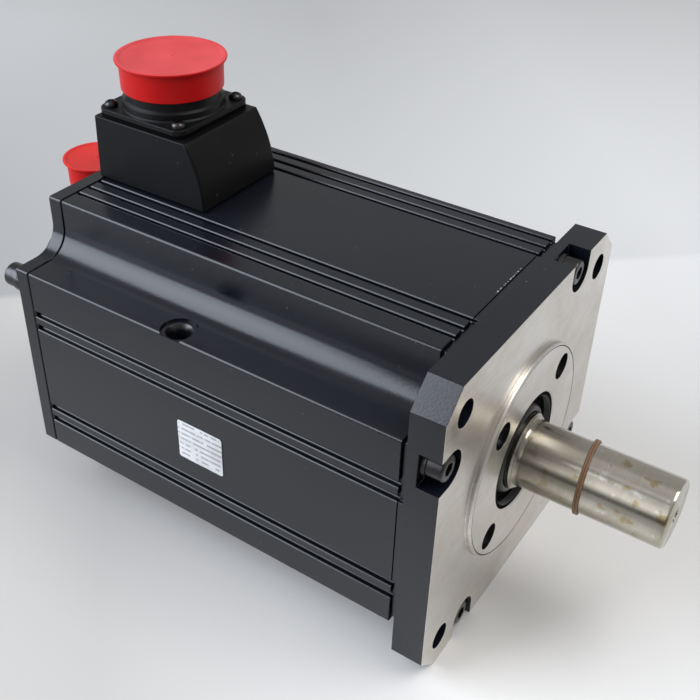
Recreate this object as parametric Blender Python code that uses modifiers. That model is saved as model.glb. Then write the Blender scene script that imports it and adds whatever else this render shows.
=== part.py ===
"""Servo motor with a square mounting flange, built as an assembly of separate pieces.

Lengths are metres. Two empties stand on the shaft's axis at the mounting face. Pieces that lie
along the shaft hang on shaft_axis, whose local Z points out of the shaft end, local X to the
motor's right and local Y up. Upright pieces hang on upright, whose axes are the world's.
"""
import math

import bmesh
import bpy
from mathutils import Matrix

# Clearances
GAP = 0.0003
RUNNING_GAP = 0.0005
AIR_GAP = 0.001

# Front bracket: square flange, pilot and hub
FLANGE_SIZE = 0.176
FLANGE_THICK = 0.017
FLANGE_CHAMFER = 0.0128
FLANGE_OVERHANG = 0.0005
NECK_LENGTH = 0.0028
NECK_INSET = 0.0020
PILOT_DIA = 0.1143
PILOT_HEIGHT = 0.003
MOUNT_INSET = 0.0173
MOUNT_HOLE_DIA = 0.0135
HUB_DIA = 0.118

# Body outline: flats with a cove along each corner
TOP_COVE = 0.0287
SIDE_COVE = 0.0300
COVE_RADIUS = 0.0145
EDGE_RADIUS = 0.0012
FRAME_LENGTH = 0.2248
FRAME_WALL = 0.0115

# Grooves along the frame, placed from the edges of each flat
TOP_GROOVE_WIDTH = 0.0022
TOP_GROOVE_DEPTH = 0.0024
TOP_GROOVE_PITCH = 0.0081
TOP_GROOVE_LEFT_INSET = 0.0118
TOP_GROOVE_RIGHT_INSET = 0.0056
TOP_GROOVE_COUNT = 3
SIDE_GROOVE_WIDTH = 0.0036
SIDE_GROOVE_DEPTH = 0.0030
SIDE_GROOVE_PITCH = 0.0082
SIDE_GROOVE_UPPER_INSET = 0.0251
SIDE_GROOVE_LOWER_INSET = 0.0187
SIDE_GROOVE_COUNT = 2

# Lifting eye hole on the lower flat of the left cove
EYE_SET_BACK = 0.0160
EYE_INSET = 0.0075
EYE_SPOT_DIA = 0.0190
EYE_SPOT_DEPTH = 0.0012
EYE_HOLE_DIA = 0.0088
EYE_HOLE_DEPTH = 0.0150

# Rear bracket
REAR_PLATE_THICK = 0.0094
JOINT_GROOVE = 0.0010
REAR_HUB_DIA = 0.092
REAR_HUB_LENGTH = 0.018
SPIGOT_LENGTH = 0.005
SPIGOT_WALL = 0.006
BOLT_PAD_DIA = 0.0150
BOLT_PAD_HEIGHT = 0.0033

# Socket head screws: head diameter, head height, shank diameter, key width across corners
M8_HEAD_DIA = 0.0130
M8_HEAD_HEIGHT = 0.0080
M8_SHANK_DIA = 0.0080
M8_KEY_DIA = 0.0069
M8_WASHER_DIA = 0.0142
M8_WASHER_THICK = 0.0021
M5_HEAD_DIA = 0.0085
M5_HEAD_HEIGHT = 0.0050
M5_SHANK_DIA = 0.0050
M5_KEY_DIA = 0.0046
KEY_DEPTH_SHARE = 0.55
SCREW_REACH = 0.020

# Screws that hold the front bracket, in open pockets along the flange's sides
POCKET_RADIUS = 0.0095
POCKET_DEPTH = 0.0113
POCKET_INSET = 0.0087
POCKET_CORNER = 0.0425

# Screws in the pilot face that pull the bearing retainer
RETAINER_PCD = 0.092
RETAINER_HOLE_DIA = 0.0140
RETAINER_HOLE_DEPTH = 0.0120
RETAINER_THICK = 0.0060
RETAINER_DIA = 0.112
RETAINER_BORE = 0.070

# Shaft and oil seal
SHAFT_DIA = 0.035
SHAFT_LENGTH = 0.079
SHAFT_CHAMFER = 0.001
SEAL_JOURNAL_DIA = 0.040
SEAL_JOURNAL_END = 0.0042
SEAL_OUTER_DIA = 0.062
SEAL_WIDTH = 0.010
SEAL_PROUD = 0.0022
SEAL_LIP_DEPTH = 0.004
SEAL_RIM = 0.0035
SHOULDER_DIA = 0.048
SHOULDER_WIDTH = 0.003
SHAFT_STUB_DIA = 0.020
SHAFT_STUB_LENGTH = 0.012
BAND_X = 0.0355
BAND_WIDTH = 0.0030
BAND_THICK = 0.0009

# Ball bearings: bore, outer diameter, width, ball diameter, count
FRONT_BORE = 0.040
FRONT_OUTER = 0.080
FRONT_WIDTH = 0.018
FRONT_BALL = 0.012
FRONT_BALLS = 9
REAR_BORE = 0.030
REAR_OUTER = 0.062
REAR_WIDTH = 0.016
REAR_BALL = 0.0095
REAR_BALLS = 9
LAND_SHARE = 0.75
CAGE_SHARE = 0.45
SPRING_THICK = 0.0012

# Stator and rotor
STATOR_FRONT_ROOM = 0.0550
STATOR_REAR_ROOM = 0.0498
STATOR_BORE_SHARE = 97 / 152
CORE_SEAT_SHARE = 50 / 152
SLOT_COUNT = 12
SLOT_WIDTH = 0.010
SLOT_DEPTH = 0.017
WINDING_HEAD_LENGTH = 0.026
ROTOR_END_GAP = 0.0020
MAGNET_THICK = 0.0040

# Encoder under a round cover with a screwed lip and a tower for the connector
COVER_DIA = 0.084
COVER_DEPTH = 0.0435
COVER_EDGE = 0.0015
COVER_WALL = 0.003
COVER_LIP = 0.011
COVER_LIP_THICK = 0.006
TOWER_RISE = 0.0135
TOWER_MARGIN = 0.002
BOARD_ROOM = 0.006
BOARD_POST_DIA = 0.008
BOARD_POST_LENGTH = 0.018
BOARD_BORE = 0.012
BOARD_THICK = 0.0016
DISC_THICK = 0.0015
DISC_HUB_DIA = 0.028
DISC_HUB_LENGTH = 0.009

# Terminal box on top of the frame
BOX_OVERHANG = 0.0038
BOX_LENGTH = 0.0735
BOX_LEFT_Y = -0.0265
BOX_RIGHT_Y = 0.0342
BOX_HEIGHT = 0.0350
BOX_FRONT_LEAN = 0.0110
BOX_DRAFT = 0.0008
BOX_WALL = 0.004
BOX_EDGE = 0.0012
BOX_WIRE_HOLE_DIA = 0.024

# Power connector on the terminal box
POWER_SETBACK = 0.0300
POWER_Y = 0.0040
POWER_FLANGE = 0.0572
POWER_FLANGE_THICK = 0.0030
POWER_CORNER = 0.0060
POWER_GASKET_THICK = 0.0010
POWER_SHELL_DIA = 0.0514
POWER_SHELL_WALL = 0.0025
POWER_SHELL_HEIGHT = 0.0263
POWER_INSERT_DEPTH = 0.0150
POWER_PIN_DIA = 0.0056
POWER_PIN_LENGTH = 0.0090
POWER_PIN_CIRCLE = 0.0220
POWER_SCREW_INSET = 0.0056
PAN_HEAD_DIA = 0.0070
PAN_HEAD_HEIGHT = 0.0030
PAN_SHANK_DIA = 0.0040
PAN_REACH = 0.0030
POWER_CAP_WALL = 0.0012
POWER_CAP_RIM = 0.0020
POWER_CAP_HEIGHT = 0.0160
POWER_CAP_RIM_THICK = 0.0016

# Encoder connector on the encoder cover
CODER_FLANGE = 0.0340
CODER_FLANGE_THICK = 0.0025
CODER_CORNER = 0.0035
CODER_SHELL_DIA = 0.0324
CODER_SHELL_WALL = 0.0022
CODER_SHELL_HEIGHT = 0.0229
CODER_INSERT_DEPTH = 0.0120
CODER_CAP_WALL = 0.0010
CODER_CAP_RIM = 0.0021
CODER_CAP_HEIGHT = 0.0150
CODER_CAP_RIM_THICK = 0.0014
CAP_DISH = 0.0006

# Rating plate on the left side, left bare
LABEL_SET_BACK = 0.0008
LABEL_Z = -0.0045
LABEL_WIDTH = 0.0284
LABEL_HEIGHT = 0.0242
LABEL_THICK = 0.0004
LABEL_CORNER = 0.0015
LABEL_GAP = 0.0001

# Facets of round shapes
FINE = 36
MEDIUM = 28
COARSE = 12

# Cross sizes that follow from the flange
BODY_SIZE = FLANGE_SIZE - 2 * FLANGE_OVERHANG
BODY_HALF = BODY_SIZE / 2
TOP_FLAT = BODY_SIZE - 2 * TOP_COVE
SIDE_FLAT = BODY_SIZE - 2 * SIDE_COVE
FRAME_BORE_DIA = BODY_SIZE - 2 * FRAME_WALL
STATOR_BORE_DIA = FRAME_BORE_DIA * STATOR_BORE_SHARE
CORE_SEAT_DIA = FRAME_BORE_DIA * CORE_SEAT_SHARE
MOUNT_OFFSET = FLANGE_SIZE / 2 - MOUNT_INSET
POCKET_OFFSET = FLANGE_SIZE / 2 - POCKET_CORNER
EYE_Y = EYE_INSET - BODY_HALF

# Stations along the shaft, from the mounting face at 0
FRAME_FRONT = -(FLANGE_THICK + NECK_LENGTH + GAP)
FRAME_REAR = FRAME_FRONT - FRAME_LENGTH
FRAME_MIDDLE = (FRAME_FRONT + FRAME_REAR) / 2
PLATE_FRONT = FRAME_REAR - GAP
REAR_FACE = PLATE_FRONT - REAR_PLATE_THICK
COVER_FRONT = REAR_FACE - GAP
COVER_REAR = COVER_FRONT - COVER_DEPTH
SEAL_REAR = -SEAL_WIDTH
SEAT_FRONT = SEAL_REAR - SHOULDER_WIDTH
FRONT_BEARING_FRONT = SEAT_FRONT - GAP
HUB_REAR = FRONT_BEARING_FRONT - FRONT_WIDTH
RETAINER_FRONT = HUB_REAR - GAP
REAR_SEAT_END = REAR_FACE + 0.25 * REAR_PLATE_THICK
REAR_BEARING_REAR = REAR_SEAT_END + SPRING_THICK + 2 * GAP
REAR_BEARING_FRONT = REAR_BEARING_REAR + REAR_WIDTH
STATOR_FRONT = FRAME_FRONT - STATOR_FRONT_ROOM
STATOR_REAR = FRAME_REAR + STATOR_REAR_ROOM
ROTOR_FRONT = STATOR_FRONT - ROTOR_END_GAP
ROTOR_REAR = STATOR_REAR + ROTOR_END_GAP
DISC_FRONT = REAR_FACE - GAP
COVER_LIP_REAR = COVER_FRONT - COVER_LIP_THICK
EYE_X = FRAME_MIDDLE - EYE_SET_BACK
LABEL_X = FRAME_MIDDLE - LABEL_SET_BACK
BOX_REAR_X = PLATE_FRONT - BOX_OVERHANG
BOX_FRONT_X = BOX_REAR_X + BOX_LENGTH
POWER_X = BOX_REAR_X + POWER_SETBACK

# Diameters and pitch circles in the encoder and the connectors
COVER_SCREW_PCD = COVER_DIA + COVER_LIP
BOARD_DIA = COVER_DIA - 2 * COVER_WALL - 2 * BOARD_ROOM
BOARD_POST_PCD = BOARD_DIA - 1.2 * BOARD_POST_DIA
DISC_DIA = BOARD_DIA - 2.75 * BOARD_POST_DIA
POWER_SCREW_OFFSET = POWER_FLANGE / 2 - POWER_SCREW_INSET
POWER_CAP_SKIRT_DIA = POWER_SHELL_DIA + 2 * GAP + 2 * POWER_CAP_WALL
POWER_CAP_RIM_DIA = POWER_CAP_SKIRT_DIA + 2 * POWER_CAP_RIM
CODER_CAP_SKIRT_DIA = CODER_SHELL_DIA + 2 * GAP + 2 * CODER_CAP_WALL
CODER_CAP_RIM_DIA = CODER_CAP_SKIRT_DIA + 2 * CODER_CAP_RIM
CODER_X = COVER_REAR + CODER_CAP_RIM_DIA / 2 + GAP

AXIS_HEIGHT = FLANGE_SIZE / 2
FLANGE_X = -(SHAFT_LENGTH + COVER_REAR) / 2

# Heights above the shaft's axis
BOX_BOTTOM = BODY_HALF + GAP
BOX_TOP = BOX_BOTTOM + BOX_HEIGHT
POWER_BASE = BOX_TOP + 2 * GAP + POWER_GASKET_THICK
POWER_RIM = POWER_BASE + POWER_SHELL_HEIGHT
TOWER_TOP = COVER_DIA / 2 + TOWER_RISE
CODER_BASE = TOWER_TOP + GAP
CODER_RIM = CODER_BASE + CODER_SHELL_HEIGHT

FINISHES = {
    "black_paint": ((0.045, 0.047, 0.052), 0.42, 0.0),
    "bare_steel": ((0.52, 0.50, 0.48), 0.30, 1.0),
    "shaft_steel": ((0.60, 0.57, 0.52), 0.16, 1.0),
    "black_oxide": ((0.02, 0.02, 0.022), 0.35, 0.6),
    "black_plastic": ((0.018, 0.018, 0.019), 0.45, 0.0),
    "red_plastic": ((0.70, 0.035, 0.03), 0.38, 0.0),
    "black_rubber": ((0.012, 0.012, 0.012), 0.6, 0.0),
    "brown_rubber": ((0.30, 0.16, 0.07), 0.55, 0.0),
    "white_label": ((0.78, 0.78, 0.76), 0.5, 0.0),
    "copper": ((0.60, 0.25, 0.12), 0.4, 1.0),
    "core_steel": ((0.30, 0.30, 0.31), 0.5, 1.0),
    "magnet": ((0.22, 0.22, 0.23), 0.45, 1.0),
    "brass": ((0.70, 0.52, 0.22), 0.3, 1.0),
    "circuit_board": ((0.02, 0.16, 0.06), 0.5, 0.0),
}


# Pieces with the body's finely stepped section, which the exact solver leaves open
FINE_SECTIONS = ("front_bracket", "stator_frame", "rear_bracket")


def start_scene():
    """Empty the scene and make the two collections and the two empties."""
    for old in list(bpy.data.objects):
        bpy.data.objects.remove(old, do_unlink=True)
    collections = []
    for name in ("servo_motor", "cutters"):
        collection = bpy.data.collections.new(name)
        bpy.context.scene.collection.children.link(collection)
        collections.append(collection)
    empties = []
    for name, rotation in (("shaft_axis", (math.pi / 2, 0, math.pi / 2)), ("upright", (0, 0, 0))):
        empty = bpy.data.objects.new(name, None)
        empty.location = (FLANGE_X, 0, AXIS_HEIGHT)
        empty.rotation_euler = rotation
        collections[0].objects.link(empty)
        empties.append(empty)
    return collections + empties


PARTS, CUTTERS, SHAFT_AXIS, UPRIGHT = start_scene()


def finish(name):
    """The named Principled material, made on first use."""
    if name in bpy.data.materials:
        return bpy.data.materials[name]
    color, roughness, metallic = FINISHES[name]
    material = bpy.data.materials.new(name)
    material.use_nodes = True
    shader = material.node_tree.nodes["Principled BSDF"]
    shader.inputs["Base Color"].default_value = (*color, 1.0)
    shader.inputs["Roughness"].default_value = roughness
    shader.inputs["Metallic"].default_value = metallic
    return material


def add_part(name, mesh, look, parent=SHAFT_AXIS, location=(0, 0, 0)):
    """Link a mesh as a named piece on one of the empties."""
    piece = bpy.data.objects.new(name, mesh)
    piece.parent = parent
    piece.location = location
    PARTS.objects.link(piece)
    if not mesh.materials:
        mesh.materials.append(finish(look))
    return piece


def add_cutter(name, mesh, parent=SHAFT_AXIS, location=(0, 0, 0)):
    """Link a mesh as a hidden tool for a Boolean."""
    tool = bpy.data.objects.new(name, mesh)
    tool.parent = parent
    tool.location = location
    tool.hide_render = True
    tool.display_type = "WIRE"
    CUTTERS.objects.link(tool)
    return tool


def combine(piece, tool, operation):
    """Cut a tool out of a piece, or join it on."""
    modifier = piece.modifiers.new(tool.name, "BOOLEAN")
    modifier.object = tool
    modifier.operation = operation
    modifier.solver = "MANIFOLD" if piece.name in FINE_SECTIONS else "EXACT"


def cut(piece, tool):
    combine(piece, tool, "DIFFERENCE")


def join(piece, tool):
    combine(piece, tool, "UNION")


def baked_mesh(piece):
    """The evaluated mesh of an object as new, welded mesh data."""
    bpy.context.view_layer.update()
    graph = bpy.context.evaluated_depsgraph_get()
    mesh = bpy.data.meshes.new_from_object(piece.evaluated_get(graph))
    work = bmesh.new()
    work.from_mesh(mesh)
    bmesh.ops.remove_doubles(work, verts=work.verts, dist=0.000001)
    work.to_mesh(mesh)
    work.free()
    return mesh


def prism(name, outlines, low, high):
    """Closed outlines in the local XY plane, extruded from low to high; inner ones are holes."""
    curve = bpy.data.curves.new(name, "CURVE")
    curve.dimensions = "2D"
    curve.fill_mode = "BOTH"
    curve.extrude = (high - low) / 2
    for outline in outlines:
        spline = curve.splines.new("POLY")
        spline.points.add(len(outline) - 1)
        for point, (x, y) in zip(spline.points, outline):
            point.co = (x, y, 0, 1)
        spline.use_cyclic_u = True
    drawn = bpy.data.objects.new(name + "_curve", curve)
    CUTTERS.objects.link(drawn)
    mesh = baked_mesh(drawn)
    bpy.data.objects.remove(drawn, do_unlink=True)
    mesh.name = name
    mesh.transform(Matrix.Translation((0, 0, (low + high) / 2)))
    return mesh


def turned(name, profile, steps):
    """A profile of (radius, height) points turned about local Z, outer side from top to bottom."""
    mesh = bpy.data.meshes.new(name)
    count = len(profile)
    edges = [(i, i + 1) for i in range(count - 1)]
    if profile[0][0] > 0:
        edges.append((count - 1, 0))
    mesh.from_pydata([(radius, 0, height) for radius, height in profile], edges, [])
    drawn = bpy.data.objects.new(name + "_profile", mesh)
    CUTTERS.objects.link(drawn)
    screw = drawn.modifiers.new("turn", "SCREW")
    screw.steps = steps
    screw.render_steps = steps
    screw.use_merge_vertices = True
    screw.merge_threshold = 0.000001
    result = baked_mesh(drawn)
    bpy.data.objects.remove(drawn, do_unlink=True)
    result.name = name
    result.shade_smooth()
    result.set_sharp_from_angle(angle=math.radians(35))
    return result


def cylinders(name, centres, diameter, low, high, segments=COARSE):
    """One mesh of equal cylinders along local Z."""
    work = bmesh.new()
    for x, y in centres:
        place = Matrix.Translation((x, y, (low + high) / 2))
        bmesh.ops.create_cone(work, cap_ends=True, segments=segments, radius1=diameter / 2,
                              radius2=diameter / 2, depth=high - low, matrix=place)
    mesh = bpy.data.meshes.new(name)
    work.to_mesh(mesh)
    work.free()
    return mesh


def arc(x, y, radius, start, end, steps):
    """Points along an arc, angles in degrees."""
    points = []
    for i in range(steps + 1):
        angle = math.radians(start + (end - start) * i / steps)
        points.append((x + radius * math.cos(angle), y + radius * math.sin(angle)))
    return points


def circle(diameter, segments):
    return arc(0, 0, diameter / 2, 0, 360, segments)[:-1]


def rounded_rectangle(width, height, radius, steps=4):
    """A rectangle about the origin with rounded corners."""
    x = width / 2 - radius
    y = height / 2 - radius
    outline = []
    for sx, sy, start in ((1, 1, 0), (-1, 1, 90), (-1, -1, 180), (1, -1, 270)):
        outline += arc(sx * x, sy * y, radius, start, start + 90, steps)
    return outline


def quarter_turns(x, y):
    """A point and its three copies, each turned by a quarter."""
    return [(x, y), (y, -x), (-x, -y), (-y, x)]


def corners(offset):
    return [(sx * offset, sy * offset) for sx in (-1, 1) for sy in (-1, 1)]


def diagonal(pitch_circle):
    return corners(pitch_circle / 2 * math.sqrt(0.5))


def groove_notch(start, along, inward, centre, width, depth):
    """Four points that cut a square groove into a straight side of an outline."""
    points = []
    for shift, sink in ((-0.5, 0), (-0.5, 1), (0.5, 1), (0.5, 0)):
        run = centre + shift * width
        points.append((start[0] + along[0] * run + inward[0] * sink * depth,
                       start[1] + along[1] * run + inward[1] * sink * depth))
    return points


def row(first, pitch, count):
    return [first + pitch * i for i in range(count)]


def groove_centres():
    """Groove places along the top face, left to right, and the side faces, bottom to top."""
    top_run = TOP_GROOVE_PITCH * (TOP_GROOVE_COUNT - 1)
    side_run = SIDE_GROOVE_PITCH * (SIDE_GROOVE_COUNT - 1)
    top = row(TOP_GROOVE_LEFT_INSET - TOP_FLAT / 2, TOP_GROOVE_PITCH, TOP_GROOVE_COUNT)
    top += row(TOP_FLAT / 2 - TOP_GROOVE_RIGHT_INSET - top_run, TOP_GROOVE_PITCH, TOP_GROOVE_COUNT)
    side = row(SIDE_GROOVE_LOWER_INSET - SIDE_FLAT / 2, SIDE_GROOVE_PITCH, SIDE_GROOVE_COUNT)
    side += row(SIDE_FLAT / 2 - SIDE_GROOVE_UPPER_INSET - side_run, SIDE_GROOVE_PITCH, SIDE_GROOVE_COUNT)
    return top, side


def neck_pads():
    """Two bars across the neck that fill the faces between their groups of grooves."""
    top, side = groove_centres()
    left = top[TOP_GROOVE_COUNT - 1] + TOP_GROOVE_WIDTH / 2
    right = top[TOP_GROOVE_COUNT] - TOP_GROOVE_WIDTH / 2
    low = side[SIDE_GROOVE_COUNT - 1] + SIDE_GROOVE_WIDTH / 2
    high = side[SIDE_GROOVE_COUNT] - SIDE_GROOVE_WIDTH / 2
    upright = [(left, -BODY_HALF), (right, -BODY_HALF), (right, BODY_HALF), (left, BODY_HALF)]
    level = [(-BODY_HALF, low), (BODY_HALF, low), (BODY_HALF, high), (-BODY_HALF, high)]
    return upright, level


def body_outline(inset=0.0, grooved=False):
    """The body's section: four flats, a cove in each corner and rounded edges."""
    half = BODY_HALF - inset
    top = TOP_FLAT / 2 - inset
    side = SIDE_FLAT / 2 - inset
    cove = COVE_RADIUS + inset
    edge = EDGE_RADIUS
    top_grooves, side_grooves = groove_centres() if grooved else ([], [])
    outline = []
    # Right side going up, then the upper right cove
    for z in side_grooves:
        outline += groove_notch((half, 0), (0, 1), (-1, 0), z, SIDE_GROOVE_WIDTH, SIDE_GROOVE_DEPTH)
    outline += arc(half - edge, side - edge, edge, 0, 90, 2)
    outline += arc(top + cove, side + cove, cove, 270, 180, 6)
    outline += arc(top - edge, half - edge, edge, 0, 90, 2)
    # Top going left, then the upper left cove
    for y in reversed(top_grooves):
        outline += groove_notch((0, half), (-1, 0), (0, -1), -y, TOP_GROOVE_WIDTH, TOP_GROOVE_DEPTH)
    outline += arc(-top + edge, half - edge, edge, 90, 180, 2)
    outline += arc(-top - cove, side + cove, cove, 0, -90, 6)
    outline += arc(-half + edge, side - edge, edge, 90, 180, 2)
    # Left side going down, then the lower left cove
    for z in reversed(side_grooves):
        outline += groove_notch((-half, 0), (0, -1), (1, 0), -z, SIDE_GROOVE_WIDTH, SIDE_GROOVE_DEPTH)
    outline += arc(-half + edge, -side + edge, edge, 180, 270, 2)
    outline += arc(-top - cove, -side - cove, cove, 90, 0, 6)
    outline += arc(-top + edge, -half + edge, edge, 180, 270, 2)
    # Bottom going right, then the lower right cove
    for y in top_grooves:
        outline += groove_notch((0, -half), (1, 0), (0, 1), y, TOP_GROOVE_WIDTH, TOP_GROOVE_DEPTH)
    outline += arc(top - edge, -half + edge, edge, 270, 360, 2)
    outline += arc(top + cove, -side - cove, cove, 180, 90, 6)
    outline += arc(half - edge, -side + edge, edge, 270, 360, 2)
    return outline


def flange_outline():
    """A square with its corners cut off."""
    half = FLANGE_SIZE / 2
    short = half - FLANGE_CHAMFER
    return [(half, -short), (half, short), (short, half), (-short, half),
            (-half, short), (-half, -short), (-short, -half), (short, -half)]


def pocket_outlines():
    """U-shaped screw pockets open to the flange's four sides."""
    half = FLANGE_SIZE / 2
    x = half - POCKET_INSET
    past = half + POCKET_RADIUS
    shape = [(past, POCKET_OFFSET - POCKET_RADIUS)]
    shape.append((past, POCKET_OFFSET + POCKET_RADIUS))
    shape += arc(x, POCKET_OFFSET, POCKET_RADIUS, 90, 270, 10)
    outlines = []
    for turn in range(4):
        angle = math.pi / 2 * turn
        turn_cos = math.cos(angle)
        turn_sin = math.sin(angle)
        # The pattern is mirrored so that the left pocket lies near the upper corner
        outlines.append([(-(px * turn_cos - py * turn_sin), px * turn_sin + py * turn_cos)
                         for px, py in shape])
    return outlines


def pocket_centres():
    return quarter_turns(-(FLANGE_SIZE / 2 - POCKET_INSET), POCKET_OFFSET)


def socket_screw_mesh(name, head_dia, head_height, shank_dia, length, key_dia, washer=(0, 0)):
    """A socket head screw with its seat at local Z = 0 and its head towards +Z."""
    washer_dia, washer_thick = washer
    top = washer_thick + head_height
    bevel = 0.08 * head_dia
    profile = [(0, top), (head_dia / 2 - bevel, top), (head_dia / 2, top - bevel)]
    profile.append((head_dia / 2, washer_thick))
    if washer_thick:
        profile += [(washer_dia / 2, washer_thick), (washer_dia / 2, 0)]
    profile[-1] = (profile[-1][0], 0)
    profile += [(shank_dia / 2, 0), (shank_dia / 2, -length), (0, -length)]
    screw = add_cutter(name + "_blank", turned(name, profile, COARSE))
    key_bottom = top - KEY_DEPTH_SHARE * head_height
    key = add_cutter(name + "_key", cylinders(name, [(0, 0)], key_dia, key_bottom, top + head_height, 6))
    cut(screw, key)
    mesh = baked_mesh(screw)
    bpy.data.objects.remove(screw, do_unlink=True)
    bpy.data.objects.remove(key, do_unlink=True)
    mesh.name = name
    return mesh


def place_screws(stem, mesh, centres, seat, facing_rear=False):
    """One object for each copy of a screw along the shaft."""
    for number, (x, y) in enumerate(centres, start=1):
        piece = add_part(f"{stem}_{number}", mesh, "black_oxide", SHAFT_AXIS, (x, y, seat))
        if facing_rear:
            piece.rotation_euler = (math.pi, 0, 0)


def make_front_bracket():
    bracket = add_part("front_bracket", prism("flange", [flange_outline()], -FLANGE_THICK, 0),
                       "black_paint")
    neck_rear = -FLANGE_THICK - NECK_LENGTH
    sections = (body_outline(NECK_INSET), *neck_pads())
    for name, section in zip(("neck", "upright_pad", "level_pad"), sections):
        join(bracket, add_cutter(name + "_tool", prism(name, [section], neck_rear, -FLANGE_THICK / 2)))
    pilot = PILOT_DIA / 2
    hub = HUB_DIA / 2
    middle = -FLANGE_THICK / 2
    boss = [(0, PILOT_HEIGHT), (pilot, PILOT_HEIGHT), (pilot, middle), (hub, middle),
            (hub, HUB_REAR), (0, HUB_REAR)]
    join(bracket, add_cutter("hub_tool", turned("hub", boss, FINE)))
    seal = SEAL_OUTER_DIA / 2 + GAP
    throat = SHOULDER_DIA / 2
    seat = FRONT_OUTER / 2 + GAP
    above = PILOT_HEIGHT + GAP
    bore = [(0, above), (seal, above), (seal, SEAL_REAR - GAP), (throat, SEAL_REAR - GAP),
            (throat, SEAT_FRONT), (seat, SEAT_FRONT), (seat, HUB_REAR - GAP), (0, HUB_REAR - GAP)]
    cut(bracket, add_cutter("front_bore_tool", turned("front_bore", bore, FINE)))
    behind = HUB_REAR - GAP
    mounts = cylinders("mount_holes", corners(MOUNT_OFFSET), MOUNT_HOLE_DIA, behind, above, MEDIUM)
    cut(bracket, add_cutter("mount_hole_tool", mounts))
    sinks = cylinders("retainer_sinks", diagonal(RETAINER_PCD), RETAINER_HOLE_DIA,
                      PILOT_HEIGHT - RETAINER_HOLE_DEPTH, above, COARSE)
    cut(bracket, add_cutter("retainer_sink_tool", sinks))
    shank = M8_SHANK_DIA + 2 * GAP
    holes = cylinders("retainer_holes", diagonal(RETAINER_PCD), shank, behind, 0)
    cut(bracket, add_cutter("retainer_hole_tool", holes))
    pockets = prism("pockets", pocket_outlines(), -POCKET_DEPTH, above)
    cut(bracket, add_cutter("pocket_tool", pockets))
    clearances = cylinders("pocket_holes", pocket_centres(), shank, behind, 0)
    cut(bracket, add_cutter("pocket_hole_tool", clearances))


def make_front_screws():
    reach = M8_SHANK_DIA / 2 + GAP
    washer = (M8_WASHER_DIA, M8_WASHER_THICK)
    length = -POCKET_DEPTH + GAP - FRAME_FRONT + SCREW_REACH - reach
    mesh = socket_screw_mesh("flange_screw", M8_HEAD_DIA, M8_HEAD_HEIGHT, M8_SHANK_DIA, length,
                             M8_KEY_DIA, washer)
    place_screws("flange_screw", mesh, pocket_centres(), -POCKET_DEPTH + GAP)
    seat = PILOT_HEIGHT - RETAINER_HOLE_DEPTH + GAP
    length = seat - RETAINER_FRONT + RETAINER_THICK
    mesh = socket_screw_mesh("retainer_screw", M8_HEAD_DIA, M8_HEAD_HEIGHT, M8_SHANK_DIA, length,
                             M8_KEY_DIA)
    place_screws("retainer_screw", mesh, diagonal(RETAINER_PCD), seat)


def make_retainer():
    rear = RETAINER_FRONT - RETAINER_THICK
    outer = RETAINER_DIA / 2
    inner = RETAINER_BORE / 2
    ring = [(outer, RETAINER_FRONT), (outer, rear), (inner, rear), (inner, RETAINER_FRONT)]
    retainer = add_part("bearing_retainer", turned("bearing_retainer", ring, MEDIUM), "bare_steel")
    holes = cylinders("retainer_taps", diagonal(RETAINER_PCD), M8_SHANK_DIA + 2 * GAP,
                      rear - RETAINER_THICK, RETAINER_FRONT + GAP)
    cut(retainer, add_cutter("retainer_tap_tool", holes))


def make_oil_seal():
    outer = SEAL_OUTER_DIA / 2
    lip = SEAL_JOURNAL_DIA / 2 + GAP
    rim = outer - SEAL_RIM / 2
    web = lip + SEAL_RIM
    lip_top = SEAL_PROUD - SEAL_LIP_DEPTH / 4
    floor = SEAL_PROUD - SEAL_LIP_DEPTH
    profile = [(rim, SEAL_PROUD), (outer, SEAL_PROUD), (outer, SEAL_REAR), (web, SEAL_REAR),
               (lip, SEAL_REAR / 2), (lip, lip_top), (web, lip_top), (web, floor), (rim, floor)]
    add_part("oil_seal", turned("oil_seal", profile, MEDIUM), "black_rubber")


def make_stator_frame():
    outlines = [body_outline(grooved=True), circle(FRAME_BORE_DIA, FINE)]
    frame = add_part("stator_frame", prism("stator_frame", outlines, FRAME_REAR, FRAME_FRONT),
                     "black_paint")
    shank = M8_SHANK_DIA + 2 * GAP
    front = cylinders("front_taps", pocket_centres(), shank, FRAME_FRONT - SCREW_REACH, FRAME_FRONT + GAP)
    rear = cylinders("rear_taps", pocket_centres(), shank, FRAME_REAR - GAP, FRAME_REAR + SCREW_REACH)
    cut(frame, add_cutter("front_tap_tool", front))
    cut(frame, add_cutter("rear_tap_tool", rear))
    shelf = SIDE_FLAT / 2
    spot = cylinders("eye_spot", [(0, 0)], EYE_SPOT_DIA, shelf - EYE_SPOT_DEPTH, BODY_HALF, MEDIUM)
    cut(frame, add_cutter("eye_spot_tool", spot, UPRIGHT, (EYE_X, EYE_Y, 0)))
    hole = cylinders("eye_hole", [(0, 0)], EYE_HOLE_DIA, shelf - EYE_HOLE_DEPTH, BODY_HALF)
    cut(frame, add_cutter("eye_hole_tool", hole, UPRIGHT, (EYE_X, EYE_Y, 0)))
    wires = cylinders("wire_hole", [(0, 0)], BOX_WIRE_HOLE_DIA, 0, BODY_HALF + GAP)
    cut(frame, add_cutter("wire_hole_tool", wires, UPRIGHT, (POWER_X, POWER_Y, 0)))


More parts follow.
